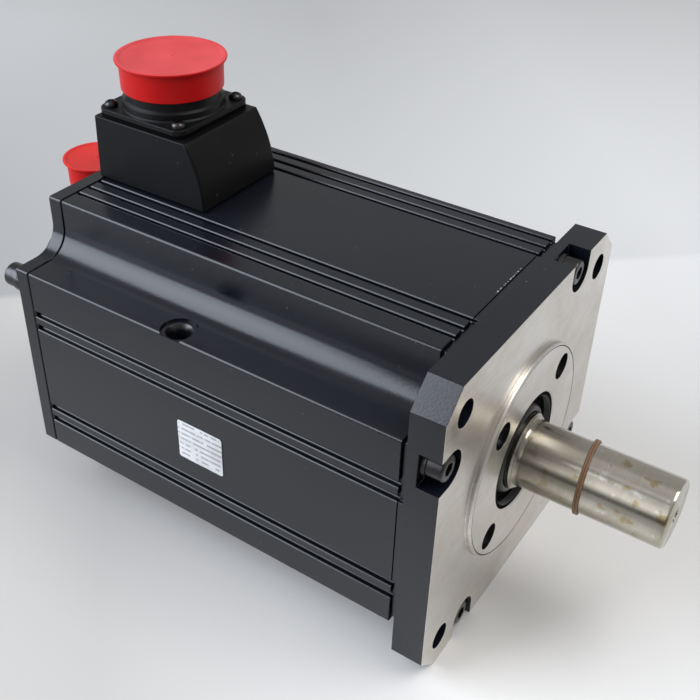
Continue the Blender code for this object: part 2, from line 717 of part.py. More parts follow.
def make_rear_bracket():
    plate = prism("rear_plate", [body_outline()], REAR_FACE, PLATE_FRONT - JOINT_GROOVE)
    bracket = add_part("rear_bracket", plate, "black_paint")
    lip = prism("joint_lip", [body_outline(JOINT_GROOVE)], PLATE_FRONT - 2 * JOINT_GROOVE, PLATE_FRONT)
    join(bracket, add_cutter("joint_lip_tool", lip))
    middle = (REAR_FACE + PLATE_FRONT) / 2
    spigot = FRAME_BORE_DIA / 2 - GAP
    relief = spigot - SPIGOT_WALL
    hub = REAR_HUB_DIA / 2
    boss = [(0, PLATE_FRONT + REAR_HUB_LENGTH), (hub, PLATE_FRONT + REAR_HUB_LENGTH),
            (hub, PLATE_FRONT - JOINT_GROOVE), (relief, PLATE_FRONT - JOINT_GROOVE),
            (relief, PLATE_FRONT + SPIGOT_LENGTH), (spigot, PLATE_FRONT + SPIGOT_LENGTH),
            (spigot, middle), (0, middle)]
    join(bracket, add_cutter("rear_hub_tool", turned("rear_hub", boss, FINE)))
    pads = cylinders("bolt_pads", pocket_centres(), BOLT_PAD_DIA, REAR_FACE - BOLT_PAD_HEIGHT, middle)
    join(bracket, add_cutter("bolt_pad_tool", pads))
    posts = cylinders("board_posts", diagonal(BOARD_POST_PCD), BOARD_POST_DIA,
                      REAR_FACE - BOARD_POST_LENGTH, middle)
    join(bracket, add_cutter("board_post_tool", posts))
    seat = REAR_OUTER / 2 + GAP
    throat = DISC_HUB_DIA / 2 + RUNNING_GAP
    bore = [(0, PLATE_FRONT + 2 * REAR_HUB_LENGTH), (seat, PLATE_FRONT + 2 * REAR_HUB_LENGTH),
            (seat, REAR_SEAT_END), (throat, REAR_SEAT_END), (throat, REAR_FACE - GAP),
            (0, REAR_FACE - GAP)]
    cut(bracket, add_cutter("rear_bore_tool", turned("rear_bore", bore, FINE)))
    holes = cylinders("rear_holes", pocket_centres(), M8_SHANK_DIA + 2 * GAP,
                      REAR_FACE - 2 * BOLT_PAD_HEIGHT, PLATE_FRONT + GAP)
    cut(bracket, add_cutter("rear_hole_tool", holes))
    taps = cylinders("cover_taps", diagonal(COVER_SCREW_PCD), M5_SHANK_DIA + 2 * GAP,
                     REAR_FACE - GAP, middle)
    cut(bracket, add_cutter("cover_tap_tool", taps))


def make_rear_bolts():
    seat = REAR_FACE - BOLT_PAD_HEIGHT - GAP
    length = FRAME_REAR - seat + SCREW_REACH - M8_SHANK_DIA / 2
    mesh = socket_screw_mesh("rear_bolt", M8_HEAD_DIA, M8_HEAD_HEIGHT, M8_SHANK_DIA, length, M8_KEY_DIA,
                             (M8_WASHER_DIA, M8_WASHER_THICK))
    place_screws("rear_bolt", mesh, pocket_centres(), seat, facing_rear=True)


def make_bearing(stem, bore, outer, width, ball, count, rear):
    """Outer ring, inner ring and a cage that carries its balls; rear is the lower face."""
    inner_radius = bore / 2 + GAP
    outer_radius = outer / 2
    pitch = (inner_radius + outer_radius) / 2
    land = ball / 2 * LAND_SHARE
    race = ball / 2 + GAP
    middle = rear + width / 2
    top = rear + width
    half_angle = math.degrees(math.acos(land / race))
    groove = arc(pitch, middle, race, -half_angle, half_angle, 3)
    outer_ring = [(outer_radius, top), (outer_radius, rear), (pitch + land, rear)]
    outer_ring += groove
    outer_ring.append((pitch + land, top))
    add_part(f"{stem}_outer_ring", turned(f"{stem}_outer_ring", outer_ring, MEDIUM), "bare_steel")
    groove = arc(pitch, middle, race, 180 - half_angle, 180 + half_angle, 3)
    inner_ring = [(pitch - land, top)]
    inner_ring += groove
    inner_ring += [(pitch - land, rear), (inner_radius, rear), (inner_radius, top)]
    add_part(f"{stem}_inner_ring", turned(f"{stem}_inner_ring", inner_ring, MEDIUM), "bare_steel")
    band = ball / 2 * CAGE_SHARE
    cage_ring = [(pitch + band, middle + band), (pitch + band, middle - band),
                 (pitch - band, middle - band), (pitch - band, middle + band)]
    cage = add_part(f"{stem}_cage", turned(f"{stem}_cage", cage_ring, MEDIUM), "bare_steel")
    work = bmesh.new()
    for number in range(count):
        angle = 2 * math.pi * number / count
        place = Matrix.Translation((pitch * math.cos(angle), pitch * math.sin(angle), middle))
        bmesh.ops.create_uvsphere(work, u_segments=6, v_segments=5, radius=ball / 2, matrix=place)
    balls = bpy.data.meshes.new(f"{stem}_balls")
    work.to_mesh(balls)
    work.free()
    join(cage, add_cutter(f"{stem}_ball_tool", balls))


def make_wave_spring():
    outer = REAR_OUTER / 2
    inner = outer - 0.3 * (REAR_OUTER - REAR_BORE) / 2
    low = REAR_SEAT_END + GAP
    ring = [(outer, low + SPRING_THICK), (outer, low), (inner, low), (inner, low + SPRING_THICK)]
    add_part("bearing_preload_spring", turned("bearing_preload_spring", ring, MEDIUM), "bare_steel")


def slot_boxes(name, inner, outer, width, low, high):
    """Radial bars, one for each stator slot."""
    work = bmesh.new()
    for number in range(SLOT_COUNT):
        turn = Matrix.Rotation(2 * math.pi * number / SLOT_COUNT, 4, "Z")
        place = turn @ Matrix.Translation(((inner + outer) / 2, 0, (low + high) / 2))
        size = Matrix.Diagonal((outer - inner, width, high - low, 1))
        bmesh.ops.create_cube(work, size=1, matrix=place @ size)
    mesh = bpy.data.meshes.new(name)
    work.to_mesh(mesh)
    work.free()
    return mesh


def make_stator():
    bore = STATOR_BORE_DIA / 2
    slot_end = bore + SLOT_DEPTH
    outlines = [circle(FRAME_BORE_DIA - 2 * GAP, FINE), circle(STATOR_BORE_DIA, FINE)]
    core = add_part("stator_core", prism("stator_core", outlines, STATOR_REAR, STATOR_FRONT), "core_steel")
    slots = slot_boxes("slots", bore - AIR_GAP, slot_end, SLOT_WIDTH, STATOR_REAR - GAP, STATOR_FRONT + GAP)
    cut(core, add_cutter("slot_tool", slots))
    inner = bore + 2 * AIR_GAP
    front = STATOR_FRONT + GAP + WINDING_HEAD_LENGTH
    rear = STATOR_REAR - GAP - WINDING_HEAD_LENGTH
    outer = slot_end - GAP
    head = [(outer, front), (outer, STATOR_FRONT + GAP), (inner, STATOR_FRONT + GAP), (inner, front)]
    winding = add_part("stator_winding", turned("front_winding_head", head, FINE), "copper")
    head = [(outer, STATOR_REAR - GAP), (outer, rear), (inner, rear), (inner, STATOR_REAR - GAP)]
    join(winding, add_cutter("rear_head_tool", turned("rear_winding_head", head, FINE)))
    overlap = WINDING_HEAD_LENGTH / 4
    bars = slot_boxes("bars", inner + GAP, slot_end - 2 * GAP, SLOT_WIDTH - 2 * GAP,
                      STATOR_REAR - overlap, STATOR_FRONT + overlap)
    join(winding, add_cutter("bar_tool", bars))


def make_rotor():
    tip = SHAFT_DIA / 2
    journal = SEAL_JOURNAL_DIA / 2
    core_seat = CORE_SEAT_DIA / 2
    rear_seat = REAR_BORE / 2
    stub = SHAFT_STUB_DIA / 2
    collar_rear = REAR_BEARING_FRONT + GAP
    profile = [(0, SHAFT_LENGTH), (tip - SHAFT_CHAMFER, SHAFT_LENGTH), (tip, SHAFT_LENGTH - SHAFT_CHAMFER),
               (tip, SEAL_JOURNAL_END + SHAFT_CHAMFER), (tip + SHAFT_CHAMFER / 2, SEAL_JOURNAL_END),
               (journal - SHAFT_CHAMFER, SEAL_JOURNAL_END),
               (journal, SEAL_JOURNAL_END - SHAFT_CHAMFER), (journal, HUB_REAR - GAP),
               (core_seat, HUB_REAR - GAP), (core_seat, ROTOR_REAR), (rear_seat + SHOULDER_WIDTH, ROTOR_REAR),
               (rear_seat + SHOULDER_WIDTH, collar_rear), (rear_seat, collar_rear),
               (rear_seat, REAR_BEARING_REAR), (stub, REAR_BEARING_REAR),
               (stub, REAR_FACE - SHAFT_STUB_LENGTH), (0, REAR_FACE - SHAFT_STUB_LENGTH)]
    add_part("rotor_shaft", turned("rotor_shaft", profile, FINE), "shaft_steel")
    magnet_outer = STATOR_BORE_DIA / 2 - AIR_GAP
    magnet_inner = magnet_outer - MAGNET_THICK
    core_outer = magnet_inner - GAP
    core_inner = core_seat + GAP
    core = [(core_outer, ROTOR_FRONT), (core_outer, ROTOR_REAR), (core_inner, ROTOR_REAR),
            (core_inner, ROTOR_FRONT)]
    add_part("rotor_core", turned("rotor_core", core, MEDIUM), "core_steel")
    ring = [(magnet_outer, ROTOR_FRONT), (magnet_outer, ROTOR_REAR), (magnet_inner, ROTOR_REAR),
            (magnet_inner, ROTOR_FRONT)]
    add_part("magnet_ring", turned("magnet_ring", ring, FINE), "magnet")
    low = BAND_X - BAND_WIDTH / 2
    high = BAND_X + BAND_WIDTH / 2
    inner = tip + LABEL_GAP
    outer = inner + BAND_THICK
    band = [(outer, high - BAND_THICK / 2), (outer, low + BAND_THICK / 2), (outer - BAND_THICK / 2, low),
            (inner, low), (inner, high), (outer - BAND_THICK / 2, high)]
    add_part("shaft_band", turned("shaft_band", band, FINE), "brown_rubber")


def make_encoder():
    hub = DISC_HUB_DIA / 2
    bore = SHAFT_STUB_DIA / 2 + GAP
    front = REAR_BEARING_REAR - GAP
    disc_front = DISC_FRONT - DISC_HUB_LENGTH + DISC_THICK
    rear = disc_front - DISC_THICK
    rim = DISC_DIA / 2
    profile = [(hub, front), (hub, disc_front), (rim, disc_front), (rim, rear), (bore, rear), (bore, front)]
    add_part("encoder_disc", turned("encoder_disc", profile, MEDIUM), "bare_steel")
    board_front = REAR_FACE - BOARD_POST_LENGTH - GAP
    outlines = [circle(BOARD_DIA, MEDIUM), circle(BOARD_BORE, COARSE)]
    add_part("encoder_board", prism("encoder_board", outlines, board_front - BOARD_THICK, board_front),
             "circuit_board")
    shell = COVER_DIA / 2
    lip = shell + COVER_LIP
    profile = [(0, COVER_FRONT), (lip, COVER_FRONT), (lip, COVER_LIP_REAR), (shell, COVER_LIP_REAR),
               (shell, COVER_REAR + COVER_EDGE), (shell - COVER_EDGE, COVER_REAR), (0, COVER_REAR)]
    cover = add_part("encoder_cover", turned("encoder_cover", profile, FINE), "black_paint")
    side = CODER_FLANGE / 2 + TOWER_MARGIN
    outline = [(-side, 0), (side, 0), (side, TOWER_TOP), (-side, TOWER_TOP)]
    tower = prism("connector_tower", [outline], COVER_REAR, COVER_FRONT - COVER_LIP_THICK / 2)
    join(cover, add_cutter("tower_tool", tower))
    inside = shell - COVER_WALL
    hollow = [(0, COVER_FRONT + GAP), (inside, COVER_FRONT + GAP), (inside, COVER_REAR + COVER_WALL),
              (0, COVER_REAR + COVER_WALL)]
    cut(cover, add_cutter("cover_hollow_tool", turned("cover_hollow", hollow, FINE)))
    holes = cylinders("cover_holes", diagonal(COVER_SCREW_PCD), M5_SHANK_DIA + 2 * GAP,
                      COVER_LIP_REAR - GAP, COVER_FRONT + GAP)
    cut(cover, add_cutter("cover_hole_tool", holes))
    opening = cylinders("coder_opening", [(0, 0)], CODER_SHELL_DIA - 2 * CODER_SHELL_WALL,
                        shell / 2, TOWER_TOP + GAP, MEDIUM)
    cut(cover, add_cutter("coder_opening_tool", opening, UPRIGHT, (CODER_X, 0, 0)))
    seat = COVER_LIP_REAR - GAP
    length = REAR_FACE - seat + REAR_PLATE_THICK / 3
    mesh = socket_screw_mesh("cover_screw", M5_HEAD_DIA, M5_HEAD_HEIGHT, M5_SHANK_DIA, length, M5_KEY_DIA)
    place_screws("cover_screw", mesh, diagonal(COVER_SCREW_PCD), seat, facing_rear=True)


def curved_box(name, inset, low, high):
    """A block in the terminal box's shape: a front that curves back and sides that lean in."""
    steps = 6
    front = BOX_FRONT_X - inset
    rear = BOX_REAR_X + inset
    rise = (high - low) / steps
    outline = [(rear, low)]
    outline += [(front - BOX_FRONT_LEAN * (i / steps) ** 2, low + rise * i) for i in range(steps + 1)]
    outline.append((rear, high))
    mesh = prism(name, [outline], BOX_LEFT_Y + inset, BOX_RIGHT_Y - inset)
    middle = (BOX_LEFT_Y + BOX_RIGHT_Y) / 2
    mesh.transform(Matrix.Translation((0, 2 * middle, 0)) @ Matrix.Rotation(math.pi / 2, 4, "X"))
    for vertex in mesh.vertices:
        lean = BOX_DRAFT * (vertex.co.z - low) / (high - low)
        vertex.co.y -= math.copysign(lean, vertex.co.y - middle)
    return mesh


def make_terminal_box():
    box = add_part("terminal_box", curved_box("terminal_box", 0, BOX_BOTTOM, BOX_TOP), "black_paint", UPRIGHT)
    bevel = box.modifiers.new("edges", "BEVEL")
    bevel.width = BOX_EDGE
    bevel.segments = 2
    bevel.limit_method = "ANGLE"
    bevel.angle_limit = math.radians(40)
    inner = curved_box("box_cavity", BOX_WALL, BOX_BOTTOM - BOX_WALL, BOX_TOP - BOX_WALL)
    cut(box, add_cutter("box_cavity_tool", inner, UPRIGHT))
    opening = cylinders("box_opening", [(0, 0)], POWER_SHELL_DIA - 2 * POWER_SHELL_WALL,
                        BOX_BOTTOM, BOX_TOP + GAP, MEDIUM)
    cut(box, add_cutter("box_opening_tool", opening, UPRIGHT, (POWER_X, POWER_Y, 0)))
    taps = cylinders("box_taps", corners(POWER_SCREW_OFFSET), PAN_SHANK_DIA + 2 * GAP,
                     BOX_TOP - PAN_REACH, BOX_TOP + GAP)
    cut(box, add_cutter("box_tap_tool", taps, UPRIGHT, (POWER_X, POWER_Y, 0)))


def connector_shell(name, place, base, flange, corner, flange_thick, dia, wall, height):
    """A square flange with a round barrel and one bore right through."""
    plate = prism(name, [rounded_rectangle(flange, flange, corner)], base, base + flange_thick)
    shell = add_part(name, plate, "black_plastic", UPRIGHT, place)
    radius = dia / 2
    barrel = [(0, base + height), (radius - wall / 3, base + height), (radius, base + height - wall / 3),
              (radius, base + flange_thick / 2), (0, base + flange_thick / 2)]
    join(shell, add_cutter(name + "_barrel", turned(name + "_barrel", barrel, MEDIUM), UPRIGHT, place))
    bore = cylinders(name + "_bore", [(0, 0)], dia - 2 * wall, base - GAP, base + height + GAP, MEDIUM)
    cut(shell, add_cutter(name + "_bore_tool", bore, UPRIGHT, place))
    return shell


def make_cap(name, place, rim_height, shell_dia, skirt_dia, rim_dia, height, rim_thick):
    """A push-on cap: a skirt over the shell, a thin rim and a slightly dished top."""
    top = rim_height + GAP + rim_thick + CAP_DISH
    bottom = top - height
    skirt = skirt_dia / 2
    bore = shell_dia / 2 + GAP
    rim = rim_dia / 2
    ceiling = rim_height + GAP
    flat = rim - 2 * rim_thick
    profile = [(0, top - CAP_DISH), (flat, top - CAP_DISH), (rim - rim_thick / 2, top),
               (rim, top - rim_thick / 2), (rim - rim_thick / 4, top - rim_thick),
               (skirt, top - 1.5 * rim_thick), (skirt, bottom), (bore, bottom), (bore, ceiling), (0, ceiling)]
    add_part(name, turned(name, profile, FINE), "red_plastic", UPRIGHT, place)


def make_power_connector():
    place = (POWER_X, POWER_Y, 0)
    gasket_low = BOX_TOP + GAP
    inside = POWER_SHELL_DIA - 2 * POWER_SHELL_WALL
    screws = corners(POWER_SCREW_OFFSET)
    shank = PAN_SHANK_DIA + 2 * GAP
    outline = rounded_rectangle(POWER_FLANGE, POWER_FLANGE, POWER_CORNER)
    sheet = prism("power_gasket", [outline, circle(inside, MEDIUM)], gasket_low,
                  gasket_low + POWER_GASKET_THICK)
    gasket = add_part("power_gasket", sheet, "black_rubber", UPRIGHT, place)
    shell = connector_shell("power_connector_shell", place, POWER_BASE, POWER_FLANGE, POWER_CORNER,
                            POWER_FLANGE_THICK, POWER_SHELL_DIA, POWER_SHELL_WALL, POWER_SHELL_HEIGHT)
    for piece in (gasket, shell):
        holes = cylinders("flange_holes", screws, shank, BOX_TOP, POWER_RIM)
        cut(piece, add_cutter(piece.name + "_hole_tool", holes, UPRIGHT, place))
    insert_top = POWER_RIM - POWER_INSERT_DEPTH
    insert_low = BOX_TOP - BOX_WALL
    pins = [(POWER_PIN_CIRCLE / 2 * math.cos(a), POWER_PIN_CIRCLE / 2 * math.sin(a))
            for a in (math.radians(45 + 90 * i) for i in range(4))]
    body = cylinders("power_insert", [(0, 0)], inside - 2 * GAP, insert_low, insert_top, MEDIUM)
    insert = add_part("power_insert", body, "black_plastic", UPRIGHT, place)
    bores = cylinders("pin_bores", pins, POWER_PIN_DIA + 2 * GAP, insert_low - GAP, insert_top + GAP)
    cut(insert, add_cutter("pin_bore_tool", bores, UPRIGHT, place))
    pin_top = insert_top + POWER_PIN_LENGTH
    radius = POWER_PIN_DIA / 2
    pin = turned("power_pin", [(0, pin_top), (radius / 2, pin_top), (radius, pin_top - radius),
                               (radius, insert_low), (0, insert_low)], COARSE)
    for number, (x, y) in enumerate(pins, start=1):
        add_part(f"power_pin_{number}", pin, "brass", UPRIGHT, (POWER_X + x, POWER_Y + y, 0))
    head = PAN_HEAD_DIA / 2
    stem = PAN_SHANK_DIA / 2
    seat = POWER_BASE + POWER_FLANGE_THICK + GAP
    reach = BOX_TOP - PAN_REACH + GAP
    dome = arc(0, 0, 1, 25, 65, 2)
    profile = [(0, seat + PAN_HEAD_HEIGHT)]
    profile += [(head * x, seat + PAN_HEAD_HEIGHT * y) for x, y in reversed(dome)]
    profile += [(head, seat), (stem, seat), (stem, reach), (0, reach)]
    screw = turned("connector_screw", profile, COARSE)
    for number, (x, y) in enumerate(screws, start=1):
        add_part(f"connector_screw_{number}", screw, "black_oxide", UPRIGHT, (POWER_X + x, POWER_Y + y, 0))
    make_cap("power_cap", place, POWER_RIM, POWER_SHELL_DIA, POWER_CAP_SKIRT_DIA, POWER_CAP_RIM_DIA,
             POWER_CAP_HEIGHT, POWER_CAP_RIM_THICK)


def make_encoder_connector():
    place = (CODER_X, 0, 0)
    connector_shell("encoder_connector_shell", place, CODER_BASE, CODER_FLANGE, CODER_CORNER,
                    CODER_FLANGE_THICK, CODER_SHELL_DIA, CODER_SHELL_WALL, CODER_SHELL_HEIGHT)
    inside = CODER_SHELL_DIA - 2 * CODER_SHELL_WALL
    body = cylinders("encoder_insert", [(0, 0)], inside - 2 * GAP, TOWER_TOP - COVER_WALL,
                     CODER_RIM - CODER_INSERT_DEPTH, MEDIUM)
    add_part("encoder_insert", body, "black_plastic", UPRIGHT, place)
    make_cap("encoder_cap", place, CODER_RIM, CODER_SHELL_DIA, CODER_CAP_SKIRT_DIA, CODER_CAP_RIM_DIA,
             CODER_CAP_HEIGHT, CODER_CAP_RIM_THICK)


def make_label():
    sheet = prism("rating_plate", [rounded_rectangle(LABEL_WIDTH, LABEL_HEIGHT, LABEL_CORNER, 3)],
                  0, LABEL_THICK)
    plate = add_part("rating_plate", sheet, "white_label", UPRIGHT,
                     (LABEL_X, -BODY_HALF - LABEL_GAP, LABEL_Z))
    plate.rotation_euler = (math.pi / 2, 0, 0)


make_front_bracket()
make_front_screws()
make_retainer()
make_oil_seal()
make_bearing("front_bearing", FRONT_BORE, FRONT_OUTER, FRONT_WIDTH, FRONT_BALL, FRONT_BALLS, HUB_REAR)
make_bearing("rear_bearing", REAR_BORE, REAR_OUTER, REAR_WIDTH, REAR_BALL, REAR_BALLS, REAR_BEARING_REAR)
make_wave_spring()
make_stator_frame()
make_stator()
make_rotor()
make_rear_bracket()
make_rear_bolts()
make_encoder()
make_terminal_box()
make_power_connector()
make_encoder_connector()
make_label()
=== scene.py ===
import math

import bmesh
import bpy
from mathutils import Matrix, Vector


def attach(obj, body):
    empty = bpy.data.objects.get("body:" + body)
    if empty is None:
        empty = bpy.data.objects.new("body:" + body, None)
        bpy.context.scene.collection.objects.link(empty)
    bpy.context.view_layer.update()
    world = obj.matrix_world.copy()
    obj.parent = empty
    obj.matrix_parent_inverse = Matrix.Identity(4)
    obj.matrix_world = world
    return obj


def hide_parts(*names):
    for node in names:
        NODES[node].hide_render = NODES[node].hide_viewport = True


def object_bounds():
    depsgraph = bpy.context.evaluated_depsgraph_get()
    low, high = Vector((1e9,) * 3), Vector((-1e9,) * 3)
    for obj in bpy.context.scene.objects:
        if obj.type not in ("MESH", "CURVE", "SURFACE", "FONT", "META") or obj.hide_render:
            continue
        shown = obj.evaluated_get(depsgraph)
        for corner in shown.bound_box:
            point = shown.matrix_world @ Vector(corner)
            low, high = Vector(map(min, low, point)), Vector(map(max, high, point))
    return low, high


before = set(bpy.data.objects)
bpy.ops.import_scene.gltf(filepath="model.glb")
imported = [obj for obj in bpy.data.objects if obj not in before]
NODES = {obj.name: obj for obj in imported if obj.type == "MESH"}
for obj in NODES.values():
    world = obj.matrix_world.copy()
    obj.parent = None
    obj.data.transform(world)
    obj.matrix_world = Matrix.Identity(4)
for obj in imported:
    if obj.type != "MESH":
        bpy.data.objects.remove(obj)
CAD_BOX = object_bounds()

# Sizes of the solids that the pieces stand for, in metres
# Heights along the shaft count from the mounting face, and heights above the shaft from its axis
DIAGONAL = math.sqrt(0.5)
GAP = 0.0003
OVERCUT = 0.001

# Flange, pilot and the bore behind it
FLANGE_HALF = 0.088
FLANGE_THICK = 0.017
FLANGE_CHAMFER = 0.0128
NECK_REAR = -0.0198
NECK_INSET = 0.0020
PAD_INSET = 0.0002
PILOT_R = 0.05715
PILOT_HEIGHT = 0.003
PILOT_CHAMFER = 0.0009
RING_R = PILOT_R - 0.0013
RING_WIDTH = 0.0003
RING_DEPTH = 0.0004
HUB_R = 0.059
HUB_FRONT = -0.0085
HUB_REAR = -0.0313
SEAL_SEAT_R = 0.0313
SEAL_SEAT_FLOOR = -0.0103
SEAL_SEAT_CHAMFER = 0.0007
WEB_HOLE_R = 0.024
BEARING_SEAT_R = 0.0403
BEARING_SEAT_FRONT = -0.013
CUT_REAR = -0.04
CUT_FRONT = 0.01
MOUNT_OFFSET = 0.0707
MOUNT_HOLE_R = 0.00675
POCKET = (-0.0793, 0.0455)
POCKET_R = 0.0095
POCKET_DEPTH = 0.0113
RETAINER_OFFSET = 0.046 * DIAGONAL
RETAINER_SINK_R = 0.007
RETAINER_SINK_FLOOR = -0.009

# Socket head screws: radius and height of the head, radius of the shank, radius of the hex socket
M8 = (0.0065, 0.008, 0.004, 0.00345)
M8_WASHER = (0.0071, 0.0021)
M8_HOLE_R = 0.0043
FLANGE_BOLT_LENGTH = 0.0284
SUNK_BOLT_LENGTH = 0.028
M5 = (0.00425, 0.005, 0.0025, 0.0023)
M5_HOLE_R = 0.0028
COVER_BOLT_LENGTH = 0.0097

# Shaft, seal and the rubber band, with the shaft's steps as (radius, rear end) from the journal on
SHAFT_R = 0.0175
SHAFT_TIP = 0.079
JOURNAL_R = 0.020
JOURNAL_FRONT = 0.0042
JOURNAL_CHAMFER = 0.001
SHAFT_STEPS = ((JOURNAL_R, HUB_REAR - GAP), (0.025, -0.1931), (0.018, -0.2343), (0.015, -0.2504),
               (0.010, -0.2666))
SEAL_R = SEAL_SEAT_R - GAP
SEAL_REAR = SEAL_SEAT_FLOOR + GAP
SEAL_LIP_R = JOURNAL_R + GAP
BAND_HEIGHT = 0.0354
BAND_SLOPE = -0.106
STRAND_R = 0.0007
STRAND_LIFT = 0.00075
STRAND_SHIFT = 0.0006

# Body: section, grooves as (width, depth), and the hole for a lifting eye
BODY_HALF = 0.0875
TOP_HALF = 0.0588
SIDE_HALF = 0.0575
COVE_R = 0.0145
EDGE_R = 0.0014
FRAME_FRONT = NECK_REAR - GAP
FRAME_REAR = -0.2449
FRAME_BORE_R = 0.076
TOP_GROOVES = (-0.0470, -0.0389, -0.0308, 0.0370, 0.0451, 0.0532)
TOP_GROOVE = (0.0022, 0.0024)
SIDE_GROOVES = (-0.0388, -0.0306, 0.0242, 0.0324)
SIDE_GROOVE = (0.0036, 0.0030)
GROOVE_LIP = 0.00045
GROOVE_EASE = 0.0004
EYE = (-0.1485, -0.0800)
EYE_SPOT_R = 0.0095
EYE_SPOT_DEPTH = 0.0012
EYE_HOLE_R = 0.0044
EYE_HOLE_DEPTH = 0.015
EYE_CONE = ((0, 0.002), (0.0086, 0.002), (EYE_HOLE_R, -0.0030), (0, -0.0030))

# Rear bracket: a plate with a small step at its joint, a hub, a spigot in the frame and bolt pads
PLATE_FRONT = FRAME_REAR - GAP
REAR_FACE = -0.2546
REAR_STEP = 0.001
REAR_HUB_R = 0.046
REAR_HUB_FRONT = -0.2272
SPIGOT_R = FRAME_BORE_R - GAP
SPIGOT_WALL = 0.006
SPIGOT_FRONT = -0.2402
REAR_SEAT_R = 0.0313
REAR_SEAT_FLOOR = -0.25225
REAR_HOLE_R = 0.0145
BOLT_PAD_R = 0.0075
BOLT_PAD_HEIGHT = 0.0033
BOARD_POST_OFFSET = 0.0282 * DIAGONAL
BOARD_POST_R = 0.004
BOARD_POST_LENGTH = 0.018

# Encoder cover with its tower, and the encoder's connector on top
COVER_FRONT = REAR_FACE - GAP
COVER_LIP_REAR = -0.2609
COVER_REAR = -0.2984
COVER_R = 0.042
COVER_LIP_R = 0.053
COVER_WALL = 0.003
COVER_EDGE = 0.0015
COVER_SCREW_OFFSET = 0.0475 * DIAGONAL
TOWER_HALF = 0.019
TOWER_TOP = 0.0555
TOWER_FRONT = -0.2579
CODER = (-0.2785, 0.0)
CODER_HOLE_R = 0.014
CODER_HOLE_FLOOR = 0.021
CODER_BASE = TOWER_TOP + GAP
CODER_RIM = 0.0787

# Terminal box and the power connector on top
BOX_FRONT = -0.1755
BOX_REAR = -0.2490
BOX_LEFT = -0.0265
BOX_RIGHT = 0.0342
BOX_BOTTOM = BODY_HALF + GAP
BOX_TOP = 0.1228
BOX_WALL = 0.004
BOX_LEAN = 0.011
BOX_DRAFT = 0.0008
POWER = (-0.2190, 0.0040)
POWER_HOLE_R = 0.0232
GASKET_THICK = 0.001
POWER_BASE = BOX_TOP + GAP + GASKET_THICK + GAP
POWER_RIM = 0.1507
POWER_FLANGE = 0.0572
POWER_CORNER = 0.006
POWER_THICK = 0.003
PAN_OFFSET = 0.0230
PAN_HOLE_R = 0.0023
PAN_SHANK_R = 0.002
PAN_SHANK_END = BOX_TOP - 0.0027
PAN_HEAD_R = 0.0035
PAN_HEAD_EDGE = 0.0008
PAN_HEAD_DOME = 0.0022
CROSS_LENGTH = 0.00386
CROSS_WIDTH = 0.00095
CROSS_FLOOR = 0.0012

# Plate on the left side
LABEL_WIDTH = 0.0284
LABEL_HEIGHT = 0.0242
LABEL_CORNER = 0.0015
LABEL_THICK = 0.0004
LABEL_AT = (-0.1333, -BODY_HALF - 0.0001, -0.0045)

# Places in the frame: local Z of an axial piece runs out of the shaft end, from the mounting face
FLANGE_X = CAD_BOX[1][0] - SHAFT_TIP
AXIS_Z = CAD_BOX[0][2] + FLANGE_HALF
AXIAL = Matrix.Translation((FLANGE_X, 0, AXIS_Z)) @ Matrix(
    ((0, 0, 1, 0), (1, 0, 0, 0), (0, 1, 0, 0), (0, 0, 0, 1)))
UPRIGHT = Matrix.Translation((FLANGE_X, 0, AXIS_Z))
UPRIGHT_TO_AXIAL = AXIAL.inverted() @ UPRIGHT

# Fineness of round stretches
EDGE_STEPS = 4
COVE_STEPS = 18


# Mesh tools

def baked(ob):
    """An object's evaluated mesh as new data, welded; the object is removed."""
    bpy.context.view_layer.update()
    graph = bpy.context.evaluated_depsgraph_get()
    mesh = bpy.data.meshes.new_from_object(ob.evaluated_get(graph))
    bpy.data.objects.remove(ob, do_unlink=True)
    work = bmesh.new()
    work.from_mesh(mesh)
    bmesh.ops.remove_doubles(work, verts=work.verts, dist=0.000001)
    work.to_mesh(mesh)
    work.free()
    return mesh


def loose(data, name="work"):
    """A new object in the scene."""
    ob = bpy.data.objects.new(name, data)
    bpy.context.scene.collection.objects.link(ob)
    return ob


def prism(outlines, low, high, bevel=0.0, steps=2):
    """Closed outlines in XY filled and extruded along Z, with rounded rims where bevel is given."""
    curve = bpy.data.curves.new("prism", "CURVE")
    curve.dimensions = "2D"
    curve.fill_mode = "BOTH"
    curve.extrude = (high - low) / 2 - bevel
    curve.bevel_depth = bevel
    curve.bevel_resolution = steps
    curve.offset = -bevel
    for outline in outlines:
        spline = curve.splines.new("POLY")
        spline.points.add(len(outline) - 1)
        for point, (x, y) in zip(spline.points, outline):
            point.co = (x, y, 0, 1)
        spline.use_cyclic_u = True
    return shifted(baked(loose(curve)), z=(low + high) / 2)


def turned(profile, steps=96):
    """(radius, height) points turned about Z, the outer side from top to bottom."""
    mesh = bpy.data.meshes.new("turned")
    count = len(profile)
    edges = [(i, i + 1) for i in range(count - 1)]
    if profile[0][0] > 0:
        edges.append((count - 1, 0))
    mesh.from_pydata([(r, 0, h) for r, h in profile], edges, [])
    ob = loose(mesh)
    screw = ob.modifiers.new("turn", "SCREW")
    screw.steps = screw.render_steps = steps
    screw.use_merge_vertices = True
    screw.merge_threshold = 0.000001
    return baked(ob)


def cylinders(centres, radius, low, high, segments=32):
    """Upright cylinders of one size in one mesh."""
    work = bmesh.new()
    for x, y in centres:
        bmesh.ops.create_cone(work, cap_ends=True, segments=segments, radius1=radius, radius2=radius,
                              depth=high - low, matrix=Matrix.Translation((x, y, (low + high) / 2)))
    mesh = bpy.data.meshes.new("cylinders")
    work.to_mesh(mesh)
    work.free()
    return mesh


def moved(mesh, matrix):
    mesh.transform(matrix)
    return mesh


def shifted(mesh, x=0.0, y=0.0, z=0.0):
    return moved(mesh, Matrix.Translation((x, y, z)))


